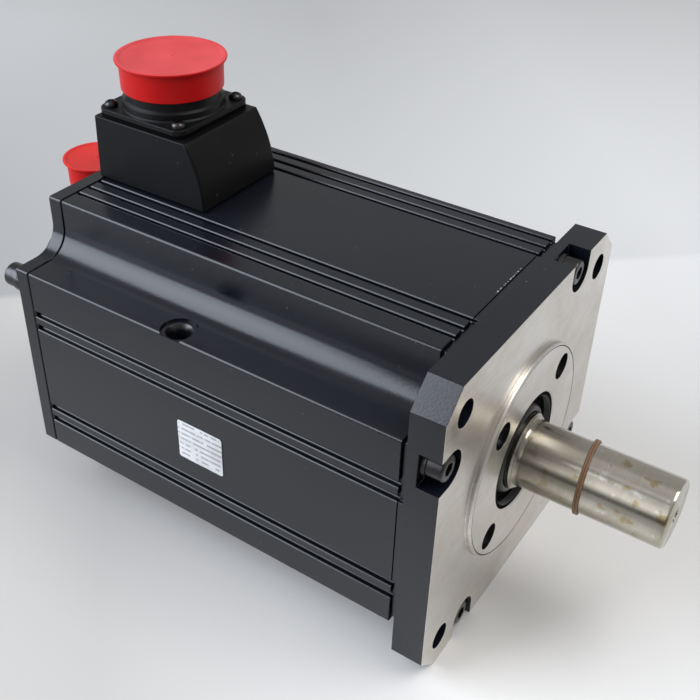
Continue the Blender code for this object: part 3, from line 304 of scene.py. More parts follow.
def joined(meshes):
    """Several meshes in one, side by side."""
    work = bmesh.new()
    for mesh in meshes:
        work.from_mesh(mesh)
    whole = bpy.data.meshes.new("joined")
    work.to_mesh(whole)
    work.free()
    return whole


def shaped(base, *steps):
    """A mesh after joining (+) and cutting (-) others."""
    ob = loose(base)
    tools = []
    for sign, mesh in steps:
        tool = loose(mesh, "tool")
        tools.append(tool)
        boolean = ob.modifiers.new("shape", "BOOLEAN")
        boolean.object = tool
        boolean.operation = "UNION" if sign == "+" else "DIFFERENCE"
        boolean.solver = "MANIFOLD"
    mesh = baked(ob)
    for tool in tools:
        bpy.data.objects.remove(tool, do_unlink=True)
    return mesh


def arc(x, y, radius, start, end, steps):
    """Points on a circle from one angle to another, in degrees."""
    points = []
    for i in range(steps + 1):
        a = math.radians(start + (end - start) * i / steps)
        points.append((x + radius * math.cos(a), y + radius * math.sin(a)))
    return points


def circle(radius, steps):
    return arc(0, 0, radius, 0, 360, steps)[:-1]


def rectangle(left, right, low, high):
    return [(left, low), (right, low), (right, high), (left, high)]


def rounded_rectangle(width, height, radius, steps=8):
    x = width / 2 - radius
    y = height / 2 - radius
    outline = []
    for sx, sy, start in ((1, 1, 0), (-1, 1, 90), (-1, -1, 180), (1, -1, 270)):
        outline += arc(sx * x, sy * y, radius, start, start + 90, steps)
    return outline


def quarter_turns(x, y):
    return [(x, y), (y, -x), (-x, -y), (-y, x)]


def corners(offset):
    return [(sx * offset, sy * offset) for sx in (-1, 1) for sy in (-1, 1)]


def notch(origin, along, inward, centre, size):
    """A groove with a chamfered mouth and eased bottom corners in a straight side."""
    half = size[0] / 2
    depth = size[1]
    left = [(-half - GROOVE_LIP, 0), (-half, GROOVE_LIP), (-half, depth - GROOVE_EASE),
            (-half + GROOVE_EASE, depth)]
    right = [(-run, sink) for run, sink in reversed(left)]
    return [(origin[0] + along[0] * (centre + run) + inward[0] * sink,
             origin[1] + along[1] * (centre + run) + inward[1] * sink) for run, sink in left + right]


def body_outline(inset=0.0, grooved=False):
    """The body's section: four flats, a cove in each corner, rounded edges, grooves if wanted."""
    half = BODY_HALF - inset
    top = TOP_HALF - inset
    side = SIDE_HALF - inset
    cove = COVE_R + inset
    tops = TOP_GROOVES if grooved else ()
    sides = SIDE_GROOVES if grooved else ()

    def corner(number, sx, sy):
        turn = 90 * number
        edges = [(sx * (half - EDGE_R), sy * (side - EDGE_R)), (sx * (top - EDGE_R), sy * (half - EDGE_R))]
        if number % 2:
            edges.reverse()
        line = arc(*edges[0], EDGE_R, turn, turn + 90, EDGE_STEPS)
        line += arc(sx * (top + cove), sy * (side + cove), cove, turn + 270, turn + 180, COVE_STEPS)
        return line + arc(*edges[1], EDGE_R, turn, turn + 90, EDGE_STEPS)

    line = []
    for z in sides:
        line += notch((half, 0), (0, 1), (-1, 0), z, SIDE_GROOVE)
    line += corner(0, 1, 1)
    for y in reversed(tops):
        line += notch((0, half), (-1, 0), (0, -1), -y, TOP_GROOVE)
    line += corner(1, -1, 1)
    for z in reversed(sides):
        line += notch((-half, 0), (0, -1), (1, 0), -z, SIDE_GROOVE)
    line += corner(2, -1, -1)
    for y in tops:
        line += notch((0, -half), (1, 0), (0, 1), y, TOP_GROOVE)
    line += corner(3, 1, -1)
    return line


# Materials

def start(name, color, roughness, metallic=0.0):
    mat = bpy.data.materials.new(name)
    mat.use_nodes = True
    tree = mat.node_tree
    shader = tree.nodes["Principled BSDF"]
    shader.inputs["Base Color"].default_value = (*color, 1)
    shader.inputs["Roughness"].default_value = roughness
    shader.inputs["Metallic"].default_value = metallic
    return mat, tree, shader


def add(tree, kind, **values):
    """A new node with inputs or properties set by name."""
    node = tree.nodes.new(kind)
    for key, value in values.items():
        if key in node.inputs:
            node.inputs[key].default_value = value
        else:
            setattr(node, key, value)
    return node


def coordinates(tree, scale=(1, 1, 1), rotation=(0, 0, 0)):
    place = add(tree, "ShaderNodeTexCoord")
    mapping = add(tree, "ShaderNodeMapping", Scale=scale, Rotation=rotation)
    tree.links.new(place.outputs["Object"], mapping.inputs["Vector"])
    return mapping.outputs["Vector"]


def separated(tree, vector):
    split = add(tree, "ShaderNodeSeparateXYZ")
    tree.links.new(vector, split.inputs[0])
    return split.outputs


def noise(tree, vector, scale, detail=3.0, rough=0.5):
    node = add(tree, "ShaderNodeTexNoise", Scale=scale, Detail=detail, Roughness=rough)
    tree.links.new(vector, node.inputs["Vector"])
    return node.outputs["Fac"]


def ramp(tree, source, low, high, from_low=0.0, from_high=1.0):
    """A value moved from one range to another and kept within it."""
    node = add(tree, "ShaderNodeMapRange")
    node.inputs["From Min"].default_value = from_low
    node.inputs["From Max"].default_value = from_high
    node.inputs["To Min"].default_value = low
    node.inputs["To Max"].default_value = high
    tree.links.new(source, node.inputs["Value"])
    return node.outputs["Result"]


def mixed(tree, factor, a, b, blend="MIX"):
    """A mix of two colours or sockets; the node's colours are its inputs 6 and 7 and its output 2."""
    node = add(tree, "ShaderNodeMix", data_type="RGBA", blend_type=blend)
    for socket, value in ((node.inputs[0], factor), (node.inputs[6], a), (node.inputs[7], b)):
        if isinstance(value, bpy.types.NodeSocket):
            tree.links.new(value, socket)
        elif isinstance(value, (int, float)):
            socket.default_value = value
        else:
            socket.default_value = (*value, 1)
    return node.outputs[2]


def times(tree, a, b):
    node = add(tree, "ShaderNodeMath", operation="MULTIPLY")
    tree.links.new(a, node.inputs[0])
    tree.links.new(b, node.inputs[1])
    return node.outputs[0]


def bump(tree, shader, height, strength, distance):
    node = add(tree, "ShaderNodeBump", Strength=strength, Distance=distance)
    tree.links.new(height, node.inputs["Height"])
    tree.links.new(node.outputs["Normal"], shader.inputs["Normal"])


def within(tree, place, middle, size):
    """1 inside a box, 0 outside."""
    away = add(tree, "ShaderNodeVectorMath", operation="SUBTRACT")
    tree.links.new(place, away.inputs[0])
    away.inputs[1].default_value = middle
    span = add(tree, "ShaderNodeVectorMath", operation="ABSOLUTE")
    tree.links.new(away.outputs[0], span.inputs[0])
    share = add(tree, "ShaderNodeVectorMath", operation="DIVIDE")
    tree.links.new(span.outputs[0], share.inputs[0])
    share.inputs[1].default_value = tuple(v / 2 for v in size)
    shares = separated(tree, share.outputs[0])
    far = shares[0]
    for axis in (1, 2):
        most = add(tree, "ShaderNodeMath", operation="MAXIMUM")
        tree.links.new(far, most.inputs[0])
        tree.links.new(shares[axis], most.inputs[1])
        far = most.outputs[0]
    return ramp(tree, far, 1, 0, 0.9, 1.0)


def paint(name, color, pale, roughness, sheen, peel, worn=()):
    """Satin paint: orange peel, uneven sheen, a little dust, and chips in boxes of (middle, size)."""
    mat, tree, shader = start(name, color, roughness)
    shader.inputs["Specular IOR Level"].default_value = sheen
    place = coordinates(tree)
    broad = noise(tree, place, 18, 4)
    fine = noise(tree, place, 900, 2)
    specks = ramp(tree, noise(tree, place, 420, 3, 0.6), 0, 1, 0.72, 0.76)
    body = mixed(tree, ramp(tree, broad, 0, 1, 0.3, 0.7), color, pale)
    body = mixed(tree, specks, body, (0.09, 0.09, 0.095))
    for middle, size in worn:
        chips = ramp(tree, noise(tree, place, 620, 4, 0.6), 0, 1, 0.50, 0.58)
        rubbed = times(tree, within(tree, place, middle, size), chips)
        body = mixed(tree, rubbed, body, (0.40, 0.40, 0.41))
    tree.links.new(body, shader.inputs["Base Color"])
    satin = ramp(tree, broad, roughness - 0.04, roughness + 0.05, 0.3, 0.7)
    tree.links.new(satin, shader.inputs["Roughness"])
    bump(tree, shader, fine, peel, 0.0002)
    return mat


def metal(name, color, stain, roughness, stretch, stain_scale):
    """Machined metal: fine tool lines along one direction, smudges and uneven polish."""
    mat, tree, shader = start(name, color, roughness, 1.0)
    lines = noise(tree, coordinates(tree, stretch), 60, 5, 0.6)
    smudge = noise(tree, coordinates(tree), stain_scale, 5, 0.6)
    body = mixed(tree, ramp(tree, smudge, 0, 1, 0.42, 0.68), color, stain)
    dark = tuple(0.72 * c for c in color)
    shade = mixed(tree, ramp(tree, lines, 0, 0.55, 0.35, 0.75), body, dark)
    tree.links.new(shade, shader.inputs["Base Color"])
    polish = ramp(tree, smudge, roughness - 0.05, roughness + 0.10, 0.35, 0.7)
    tree.links.new(polish, shader.inputs["Roughness"])
    bump(tree, shader, lines, 0.12, 0.0001)
    return mat


def plastic(name, color, pale, roughness, sheen=0.5, grain=500, strength=0.08):
    """Moulded plastic or rubber: fine grain and slow colour change."""
    mat, tree, shader = start(name, color, roughness)
    shader.inputs["Specular IOR Level"].default_value = sheen
    place = coordinates(tree)
    broad = noise(tree, place, 60, 4)
    body = mixed(tree, ramp(tree, broad, 0, 1, 0.3, 0.7), color, pale)
    tree.links.new(body, shader.inputs["Base Color"])
    gloss = ramp(tree, broad, roughness - 0.05, roughness + 0.07, 0.3, 0.7)
    tree.links.new(gloss, shader.inputs["Roughness"])
    bump(tree, shader, noise(tree, place, grain, 3), strength, 0.0002)
    return mat


def shaft_steel():
    """Ground steel with oily film, brown stains and pale drops; painted shade makes it darker towards the
    seal.
    """
    mat, tree, shader = start("turned_steel", (0.55, 0.48, 0.41), 0.2, 1.0)
    shader.inputs["Anisotropic"].default_value = 0.8
    shader.inputs["Anisotropic Rotation"].default_value = 0.25
    around = add(tree, "ShaderNodeTangent", direction_type="RADIAL", axis="X")
    tree.links.new(around.outputs["Tangent"], shader.inputs["Tangent"])
    place = coordinates(tree)
    lines = noise(tree, coordinates(tree, (26, 1, 1)), 60, 5, 0.6)
    film = noise(tree, place, 42, 5, 0.6)
    body = mixed(tree, ramp(tree, film, 0, 1, 0.45, 0.62), (0.54, 0.505, 0.44), (0.44, 0.415, 0.325))
    spots = ramp(tree, noise(tree, place, 150, 3), 0, 0.75, 0.60, 0.68)
    body = mixed(tree, spots, body, (0.36, 0.27, 0.11))
    elsewhere = coordinates(tree, rotation=(0.7, 0.2, 0.4))
    drops = ramp(tree, noise(tree, elsewhere, 200, 3), 0, 0.6, 0.62, 0.68)
    body = mixed(tree, drops, body, (0.66, 0.66, 0.62))
    # Painted shade: darker towards the seal, where the flange shades what the shaft mirrors.
    dim = ramp(tree, separated(tree, place)["X"], 0.50, 0, FLANGE_X + 0.008, FLANGE_X + 0.046)
    body = mixed(tree, dim, body, (0.14, 0.125, 0.09))
    body = mixed(tree, ramp(tree, lines, 0, 0.35, 0.35, 0.75), body, (0.36, 0.32, 0.27))
    tree.links.new(body, shader.inputs["Base Color"])
    tree.links.new(ramp(tree, film, 0.15, 0.26, 0.35, 0.7), shader.inputs["Roughness"])
    bump(tree, shader, lines, 0.05, 0.0001)
    return mat


def label_material():
    """A white film with faint ruled bars that spell nothing."""
    mat, tree, shader = start("plate_white", (0.72, 0.73, 0.74), 0.42)
    place = coordinates(tree)
    stained = ramp(tree, noise(tree, place, 90, 4), 0, 1, 0.4, 0.75)
    film = mixed(tree, stained, (0.74, 0.75, 0.76), (0.60, 0.61, 0.62))
    wave = add(tree, "ShaderNodeTexWave", wave_type="BANDS", bands_direction="Z", wave_profile="SIN",
               Scale=95)
    tree.links.new(place, wave.inputs["Vector"])
    rows = ramp(tree, wave.outputs["Fac"], 0, 1, 0.66, 0.76)
    broken = ramp(tree, noise(tree, coordinates(tree, (1, 1, 0.25)), 260, 2), 0, 0.7, 0.44, 0.50)
    body = mixed(tree, times(tree, rows, broken), film, (0.22, 0.22, 0.23))
    tree.links.new(body, shader.inputs["Base Color"])
    return mat


# Looks: the two colours that each drifts between, then roughness. Paint and plastic go on with sheen and
# grain, and metal with the stretch of its tool lines and the fineness of its stains.
# JOINT is where paint is rubbed off along the joint on top of the frame: the middle and size of a box.
JOINT = ((FLANGE_X - 0.0208, 0.0065, AXIS_Z + BODY_HALF), (0.0006, 0.029, 0.003))
PAINT = dict(color=(0.0038, 0.0048, 0.0085), pale=(0.006, 0.0072, 0.0115), roughness=0.22, sheen=0.50,
             peel=0.20)
BLACK = paint("satin_black", **PAINT)
WORN_BLACK = paint("worn_black", worn=(JOINT,), **PAINT)
BOX_BLACK = paint("box_black", (0.003, 0.003, 0.0035), (0.005, 0.005, 0.006), 0.38, 0.16, 0.2)
FACE = metal("milled_face", (0.73, 0.70, 0.66), (0.65, 0.61, 0.555), 0.33, (1, 1, 14), 30)
RIM = metal("turned_rim", (0.70, 0.66, 0.615), (0.61, 0.57, 0.51), 0.28, (10, 1, 1), 40)
STEEL = shaft_steel()
# Plain steel for the inner parts; on the sunk bolts it is painted light.
PLAIN_STEEL_AND_PAINTED_LIGHT = metal("plain_steel_and_painted_light", (0.42, 0.42, 0.42), (0.34, 0.33, 0.32), 0.35, (1, 1, 1), 40)
OXIDE = metal("oxide_screw", (0.075, 0.075, 0.08), (0.05, 0.047, 0.044), 0.30, (1, 1, 1), 120)
SHELL = plastic("shell_black", (0.0045, 0.0045, 0.005), (0.008, 0.008, 0.0085), 0.42, 0.16)
RED = plastic("cap_red", (0.50, 0.006, 0.006), (0.54, 0.009, 0.008), 0.38, 0.13, 260, 0.05)
# Paler red for the power cap's top: dust, and a painted sheen in its colour.
RED_TOP_DUST_AND_SHEEN = plastic("red_dust_and_painted_sheen", (0.57, 0.046, 0.049), (0.67, 0.072, 0.076), 0.45, 0.26, 260, 0.12)
# Paler red for the encoder cap's top: painted light.
RED_FAR_PAINTED_LIGHT = plastic("far_cap_red_painted_light", (0.69, 0.030, 0.026), (0.73, 0.038, 0.032), 0.42, 0.22, 260, 0.06)
RUBBER_AND_PAINTED_SHADE = plastic("seal_rubber_and_painted_shade", (0.003, 0.003, 0.003), (0.005, 0.005, 0.0045), 0.6, 0.01)
LIP = plastic("seal_lip", (0.014, 0.0135, 0.013), (0.02, 0.019, 0.018), 0.35, 0.3)
BAND = plastic("band_brown", (0.20, 0.105, 0.055), (0.27, 0.15, 0.08), 0.5)
BRASS = metal("contact_brass", (0.62, 0.46, 0.20), (0.50, 0.36, 0.16), 0.3, (1, 1, 1), 60)
COPPER = metal("winding_copper", (0.55, 0.24, 0.12), (0.40, 0.16, 0.08), 0.4, (1, 1, 20), 60)
BOARD = plastic("board_green", (0.02, 0.14, 0.05), (0.03, 0.18, 0.07), 0.45)
LABEL = label_material()


# Pieces

def piece(name, mesh, looks, body, node, place=UPRIGHT, bevel=0.0, steps=2, angle=35, flats=False):
    """A finished piece that rides on a body and stands for a CAD node."""
    mesh.transform(place)
    mesh.materials.clear()
    for look in looks if isinstance(looks, tuple) else (looks,):
        mesh.materials.append(look)
    mesh.shade_smooth()
    mesh.set_sharp_from_angle(angle=math.radians(angle))
    ob = loose(mesh, name)
    mesh.name = name
    if bevel:
        edges = ob.modifiers.new("edges", "BEVEL")
        edges.width = bevel
        edges.segments = steps
        edges.limit_method = "ANGLE"
        edges.angle_limit = math.radians(angle)
        edges.harden_normals = True
        edges.use_clamp_overlap = False
    if flats:
        normals = ob.modifiers.new("flats", "WEIGHTED_NORMAL")
        normals.keep_sharp = True
    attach(ob, body)
    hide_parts(node)
    return ob


def axis_distance(face):
    """How far a face's middle is from the shaft's axis."""
    return math.hypot(face.center.y, face.center.z - AXIS_Z)


def socket_screw(size, length, washer=(0, 0)):
    """A socket head screw with a rounded head, seat at 0, head towards +Z, on a split washer if given."""
    head_r, head_height, shank_r, key_r = size
    washer_r, washer_thick = washer
    ease = 0.0002
    washer_ease = 0.0003
    top = washer_thick + head_height
    rim = 0.18 * head_r
    profile = [(0, top)] + arc(head_r - rim, top - rim, rim, 90, 0, EDGE_STEPS)
    profile += [(head_r, washer_thick + ease), (head_r - ease, washer_thick)]
    if washer_thick:
        profile += [(washer_r - washer_ease, washer_thick), (washer_r, washer_thick - washer_ease)]
        profile.append((washer_r, 0))
    profile += [(shank_r, 0), (shank_r, -length), (0, -length)]
    socket_floor = top - 0.55 * head_height
    cuts = [("-", cylinders([(0, 0)], key_r, socket_floor, top + head_height, 6))]
    if washer_thick:
        reach = 0.0072
        half = 0.0006
        split = [(washer_r - reach, 0), (washer_r, -half), (washer_r + reach, 0), (washer_r, half)]
        cuts.append(("-", prism([split], 0.05 * washer_thick, 0.95 * washer_thick)))
    return shaped(turned(profile, 48), *cuts)


def make_screws(name, node, mesh, places, look=OXIDE, place=AXIAL, facing_rear=False):
    """Numbered copies of one screw, each a piece of its own."""
    turn = Matrix.Rotation(math.pi, 4, "X") if facing_rear else Matrix.Identity(4)
    for number, spot in enumerate(places, start=1):
        screw = moved(mesh.copy(), Matrix.Translation(spot) @ turn)
        piece(f"{name}_{number}", screw, look, "housing", f"{node}_{number}", place=place)


def pocket_outlines():
    """The four screw pockets, each open to one side of the flange."""
    x, y = -POCKET[0], POCKET[1]
    mouth = FLANGE_HALF + POCKET_R
    shape = [(mouth, y - POCKET_R), (mouth, y + POCKET_R)] + arc(x, y, POCKET_R, 90, 270, 20)
    outlines = []
    for number in range(4):
        c = math.cos(math.pi / 2 * number)
        s = math.sin(math.pi / 2 * number)
        outlines.append([(py * s - px * c, px * s + py * c) for px, py in shape])
    return outlines


def flange_look(face):
    """A face's look: 0 paint, 1 milled face, 2 turned rim, 3 the pilot's fine ring, painted black as shade, 4
    sunk holes.
    """
    near = 0.0002
    height = face.center.x - FLANGE_X
    radius = axis_distance(face)
    forward = face.normal.x > 0.3
    if height > near and not forward and radius > PILOT_R - near:
        return 2
    if near < height < PILOT_HEIGHT - near / 2 and abs(radius - RING_R) < 2 * near:
        return 3
    if height > -near and forward:
        return 1
    middle = (face.center.y, face.center.z - AXIS_Z)
    if min(math.dist(hole, middle) for hole in corners(RETAINER_OFFSET)) < RETAINER_SINK_R + near:
        return 4
    return 0


def make_front():
    """The flange with its pilot, bores, pockets and the pads between the body's grooves, and its screws."""
    h = FLANGE_HALF
    s = h - FLANGE_CHAMFER
    outline = [(h, -s), (h, s), (s, h), (-s, h), (-h, s), (-h, -s), (-s, -h), (s, -h)]
    plate = prism([outline], -FLANGE_THICK, 0)
    inside = -FLANGE_THICK / 2
    neck = prism([body_outline(NECK_INSET)], NECK_REAR, inside)
    pad = BODY_HALF - PAD_INSET
    top_edge = TOP_GROOVE[0] / 2
    side_edge = SIDE_GROOVE[0] / 2
    upright = rectangle(TOP_GROOVES[2] + top_edge, TOP_GROOVES[3] - top_edge, -pad, pad)
    level = rectangle(-pad, pad, SIDE_GROOVES[1] + side_edge, SIDE_GROOVES[2] - side_edge)
    ring_floor = PILOT_HEIGHT - RING_DEPTH
    boss = [(0, PILOT_HEIGHT), (RING_R - RING_WIDTH, PILOT_HEIGHT), (RING_R - RING_WIDTH, ring_floor),
            (RING_R, ring_floor), (RING_R, PILOT_HEIGHT), (PILOT_R - PILOT_CHAMFER, PILOT_HEIGHT),
            (PILOT_R, PILOT_HEIGHT - PILOT_CHAMFER), (PILOT_R, HUB_FRONT), (HUB_R, HUB_FRONT),
            (HUB_R, HUB_REAR), (0, HUB_REAR)]
    above = PILOT_HEIGHT + OVERCUT
    below = HUB_REAR - OVERCUT
    mouth_r = SEAL_SEAT_R + SEAL_SEAT_CHAMFER
    bore = [(0, above), (mouth_r, above), (mouth_r, PILOT_HEIGHT),
            (SEAL_SEAT_R, PILOT_HEIGHT - SEAL_SEAT_CHAMFER), (SEAL_SEAT_R, SEAL_SEAT_FLOOR),
            (WEB_HOLE_R, SEAL_SEAT_FLOOR), (WEB_HOLE_R, BEARING_SEAT_FRONT),
            (BEARING_SEAT_R, BEARING_SEAT_FRONT), (BEARING_SEAT_R, below), (0, below)]
    pocket_spots = quarter_turns(*POCKET)
    sunk_spots = corners(RETAINER_OFFSET)
    mesh = shaped(
        plate, ("+", neck), ("+", prism([upright], NECK_REAR, inside)),
        ("+", prism([level], NECK_REAR, inside)), ("+", turned(boss)), ("-", turned(bore)),
        ("-", cylinders(corners(MOUNT_OFFSET), MOUNT_HOLE_R, CUT_REAR, CUT_FRONT, 40)),
        ("-", cylinders(sunk_spots, RETAINER_SINK_R, RETAINER_SINK_FLOOR, CUT_FRONT, 40)),
        ("-", cylinders(sunk_spots, M8_HOLE_R, CUT_REAR, 0, 24)),
        ("-", prism(pocket_outlines(), -POCKET_DEPTH, above)),
        ("-", cylinders(pocket_spots, M8_HOLE_R, CUT_REAR, 0, 24)))
    # The black rubber look in the pilot's fine ring groove is painted shade.
    looks = (BLACK, FACE, RIM, RUBBER_AND_PAINTED_SHADE, OXIDE)
    ob = piece("flange_body", mesh, looks, "housing", "front_bracket", place=AXIAL,
               bevel=0.0003, flats=True)
    for face in ob.data.polygons:
        face.material_index = flange_look(face)
    seats = [(x, y, -POCKET_DEPTH + GAP) for x, y in pocket_spots]
    make_screws("flange_bolt", "flange_screw", socket_screw(M8, FLANGE_BOLT_LENGTH, M8_WASHER), seats)
    seats = [(x, y, RETAINER_SINK_FLOOR + GAP) for x, y in sunk_spots]
    # The sunk bolts wear paler steel than the other screws' oxide: painted light in their shaded holes.
    make_screws("sunk_bolt", "retainer_screw", socket_screw(M8, SUNK_BOLT_LENGTH), seats, look=PLAIN_STEEL_AND_PAINTED_LIGHT)


def make_seal():
    """Oil seal: outer case, a lip on the journal and a recessed web between them."""
    case = [(0.0290, 0.0019), (0.0294, 0.0022), (0.0305, 0.0022), (SEAL_R, 0.0017), (SEAL_R, SEAL_REAR)]
    lip = [(0.0238, SEAL_REAR), (SEAL_LIP_R, -0.005), (SEAL_LIP_R, 0.0008), (0.0208, 0.0013),
           (0.0219, 0.0013)]
    web = [(0.0232, 0.0004), (0.0239, -0.0012), (0.0247, -0.0018), (0.0276, -0.0018), (0.0288, -0.0008)]
    ob = piece("shaft_seal", turned(case + lip + web), (RUBBER_AND_PAINTED_SHADE, LIP), "housing", "oil_seal",
               place=AXIAL, angle=50)
    web_level = FLANGE_X - 0.0012
    lip_edge = 0.0236
    case_edge = (0.0288, 0.0296)
    for face in ob.data.polygons:
        radius = axis_distance(face)
        if face.center.x > web_level and (radius < lip_edge or case_edge[0] < radius < case_edge[1]):
            face.material_index = 1


def make_shaft():
    """The whole shaft with its journal, shoulder fillet, rounded tip and a centre hole in the end."""
    centre_hole = ((0, 0.007), (0.0013, 0.0055), (0.0013, 0.004), (0.0042, 0))
    tip_edge = ((0.0011, 0), (0.0003, 0.0005), (0, 0.0013), (0, 0.0016))
    fillet = ((0, 0.0028), (0, 0.0024), (0.0001, 0.0016), (0.0003, 0.0008), (0.0007, 0.0002), (0.0010, 0))
    profile = [(radius, SHAFT_TIP - depth) for radius, depth in centre_hole]
    profile += [(SHAFT_R - inward, SHAFT_TIP - depth) for inward, depth in tip_edge]
    profile += [(SHAFT_R + outward, JOURNAL_FRONT + height) for outward, height in fillet]
    profile.append((JOURNAL_R - JOURNAL_CHAMFER, JOURNAL_FRONT))
    front = JOURNAL_FRONT - JOURNAL_CHAMFER
    for radius, rear in SHAFT_STEPS:
        profile += [(radius, front), (radius, rear)]
        front = rear
    profile.append((0, front))
    piece("drive_shaft", turned(profile, 128), STEEL, "rotor", "rotor_shaft", place=AXIAL)


def make_band():
    """A rubber band of two strands, askew round the shaft."""
    section = arc(SHAFT_R + STRAND_LIFT, 0, STRAND_R, 315, 0, 7)
    askew = Matrix.Identity(4)
    askew[2][0] = BAND_SLOPE
    strands = [moved(shifted(turned(section, 72), z=BAND_HEIGHT + shift), askew)
               for shift in (-STRAND_SHIFT, STRAND_SHIFT)]
    piece("rubber_band", joined(strands), BAND, "rotor", "shaft_band", place=AXIAL, angle=60)


def make_frame():
    """The grooved body with its round bore and the sunk hole for a lifting eye."""
    body = prism([body_outline(grooved=True), circle(FRAME_BORE_R, 96)], FRAME_REAR, FRAME_FRONT)
    floor = SIDE_HALF - EYE_SPOT_DEPTH
    spot = cylinders([EYE], EYE_SPOT_R, floor, BODY_HALF, 48)
    hole = cylinders([EYE], EYE_HOLE_R, SIDE_HALF - EYE_HOLE_DEPTH, BODY_HALF, 32)
    cone = shifted(turned(EYE_CONE, 32), *EYE, floor)
    mesh = shaped(body, *(("-", moved(tool, UPRIGHT_TO_AXIAL)) for tool in (spot, hole, cone)))
    ob = piece("ribbed_body", mesh, (WORN_BLACK, OXIDE), "housing", "stator_frame",
               place=AXIAL, angle=40, flats=True)
    for face in ob.data.polygons:
        away = math.dist((face.center.x - FLANGE_X, face.center.y), EYE)
        sloping = 0.2 < face.normal.z < 0.9
        if away < EYE_CONE[1][0] and face.center.z < AXIS_Z + SIDE_HALF and sloping:
            face.material_index = 1


def make_rear():
    """The rear bracket with its hub, spigot, bolt pads and board posts, and the bolts behind it."""
    root = PLATE_FRONT - REAR_STEP
    middle = (PLATE_FRONT + REAR_FACE) / 2
    spigot_bore = SPIGOT_R - SPIGOT_WALL
    plate = prism([body_outline()], REAR_FACE, root)
    step = prism([body_outline(REAR_STEP)], root - REAR_STEP, PLATE_FRONT)
    boss = [(0, REAR_HUB_FRONT), (REAR_HUB_R, REAR_HUB_FRONT), (REAR_HUB_R, root), (spigot_bore, root),
            (spigot_bore, SPIGOT_FRONT), (SPIGOT_R, SPIGOT_FRONT), (SPIGOT_R, middle), (0, middle)]
    front = REAR_HUB_FRONT + OVERCUT
    rear = REAR_FACE - OVERCUT
    bore = [(0, front), (REAR_SEAT_R, front), (REAR_SEAT_R, REAR_SEAT_FLOOR), (REAR_HOLE_R, REAR_SEAT_FLOOR),
            (REAR_HOLE_R, rear), (0, rear)]
    pad_face = REAR_FACE - BOLT_PAD_HEIGHT
    bolt_spots = quarter_turns(*POCKET)
    mesh = shaped(
        plate, ("+", step), ("+", turned(boss)),
        ("+", cylinders(bolt_spots, BOLT_PAD_R, pad_face, middle, 40)),
        ("+", cylinders(corners(BOARD_POST_OFFSET), BOARD_POST_R, REAR_FACE - BOARD_POST_LENGTH, middle, 24)),
        ("-", turned(bore)),
        ("-", cylinders(bolt_spots, M8_HOLE_R, pad_face - OVERCUT, PLATE_FRONT + OVERCUT, 24)))
    piece("end_bracket", mesh, BLACK, "housing", "rear_bracket", place=AXIAL, bevel=0.0004,
          angle=40, flats=True)
    seats = [(x, y, pad_face - GAP) for x, y in bolt_spots]
    bolt = socket_screw(M8, FLANGE_BOLT_LENGTH, M8_WASHER)
    make_screws("end_bolt", "rear_bolt", bolt, seats, facing_rear=True)


def make_encoder():
    """The encoder's round cover with a tower for its connector, and the cover's screws."""
    cover = [(0, COVER_FRONT), (COVER_LIP_R - 0.0005, COVER_FRONT), (COVER_LIP_R, COVER_FRONT - 0.0005),
             (COVER_LIP_R, COVER_LIP_REAR + 0.0008), (COVER_LIP_R - 0.0008, COVER_LIP_REAR),
             (COVER_R + 0.001, COVER_LIP_REAR), (COVER_R + 0.0002, COVER_LIP_REAR - 0.0003),
             (COVER_R, COVER_LIP_REAR - 0.001)]
    cover += arc(COVER_R - COVER_EDGE, COVER_REAR + COVER_EDGE, COVER_EDGE, 0, -90, EDGE_STEPS)
    cover.append((0, COVER_REAR))
    tower = prism([rectangle(-TOWER_HALF, TOWER_HALF, 0, TOWER_TOP)], COVER_REAR + GAP, TOWER_FRONT)
    front = COVER_FRONT + OVERCUT
    hollow = cylinders([(0, 0)], COVER_R - COVER_WALL, COVER_REAR + COVER_WALL, front, 96)
    opening = cylinders([CODER], CODER_HOLE_R, CODER_HOLE_FLOOR, TOWER_TOP + OVERCUT, 48)
    screw_spots = corners(COVER_SCREW_OFFSET)
    mesh = shaped(
        turned(cover), ("+", tower), ("-", hollow), ("-", moved(opening, UPRIGHT_TO_AXIAL)),
        ("-", cylinders(screw_spots, M5_HOLE_R, COVER_LIP_REAR - OVERCUT, front, 24)))
    piece("encoder_housing", mesh, BLACK, "housing", "encoder_cover", place=AXIAL,
          bevel=0.0003, angle=40, flats=True)
    seats = [(x, y, COVER_LIP_REAR - GAP) for x, y in screw_spots]
    make_screws("cover_bolt", "cover_screw", socket_screw(M5, COVER_BOLT_LENGTH), seats, facing_rear=True)


def shell_mesh(base, flange, corner, thick, radius, wall, height, collar):
    """A flange with a collar, a barrel and a rolled mouth."""
    plate = prism([rounded_rectangle(flange, flange, corner)], base, base + thick, bevel=0.0005)
    mouth = base + height
    seat = base + thick
    root = base + thick / 2
    ring = radius + collar
    rolled = [(0, mouth), (radius - wall / 2, mouth), (radius - 0.0002, mouth - 0.0004),
              (radius, mouth - 0.0010), (radius, mouth - 0.0013)]
    barrel = [(radius, seat + 0.0055), (radius, seat + 0.0052), (radius + 0.0003, seat + 0.0046)]
    collared = [(ring - 0.0003, seat + 0.0042), (ring, seat + 0.0038), (ring, seat + 0.0008),
                (ring + 0.0008, seat), (ring + 0.0008, root), (0, root)]
    hollow = cylinders([(0, 0)], radius - wall, base - OVERCUT, mouth + OVERCUT, 72)
    return shaped(plate, ("+", turned(rolled + barrel + collared)), ("-", hollow))


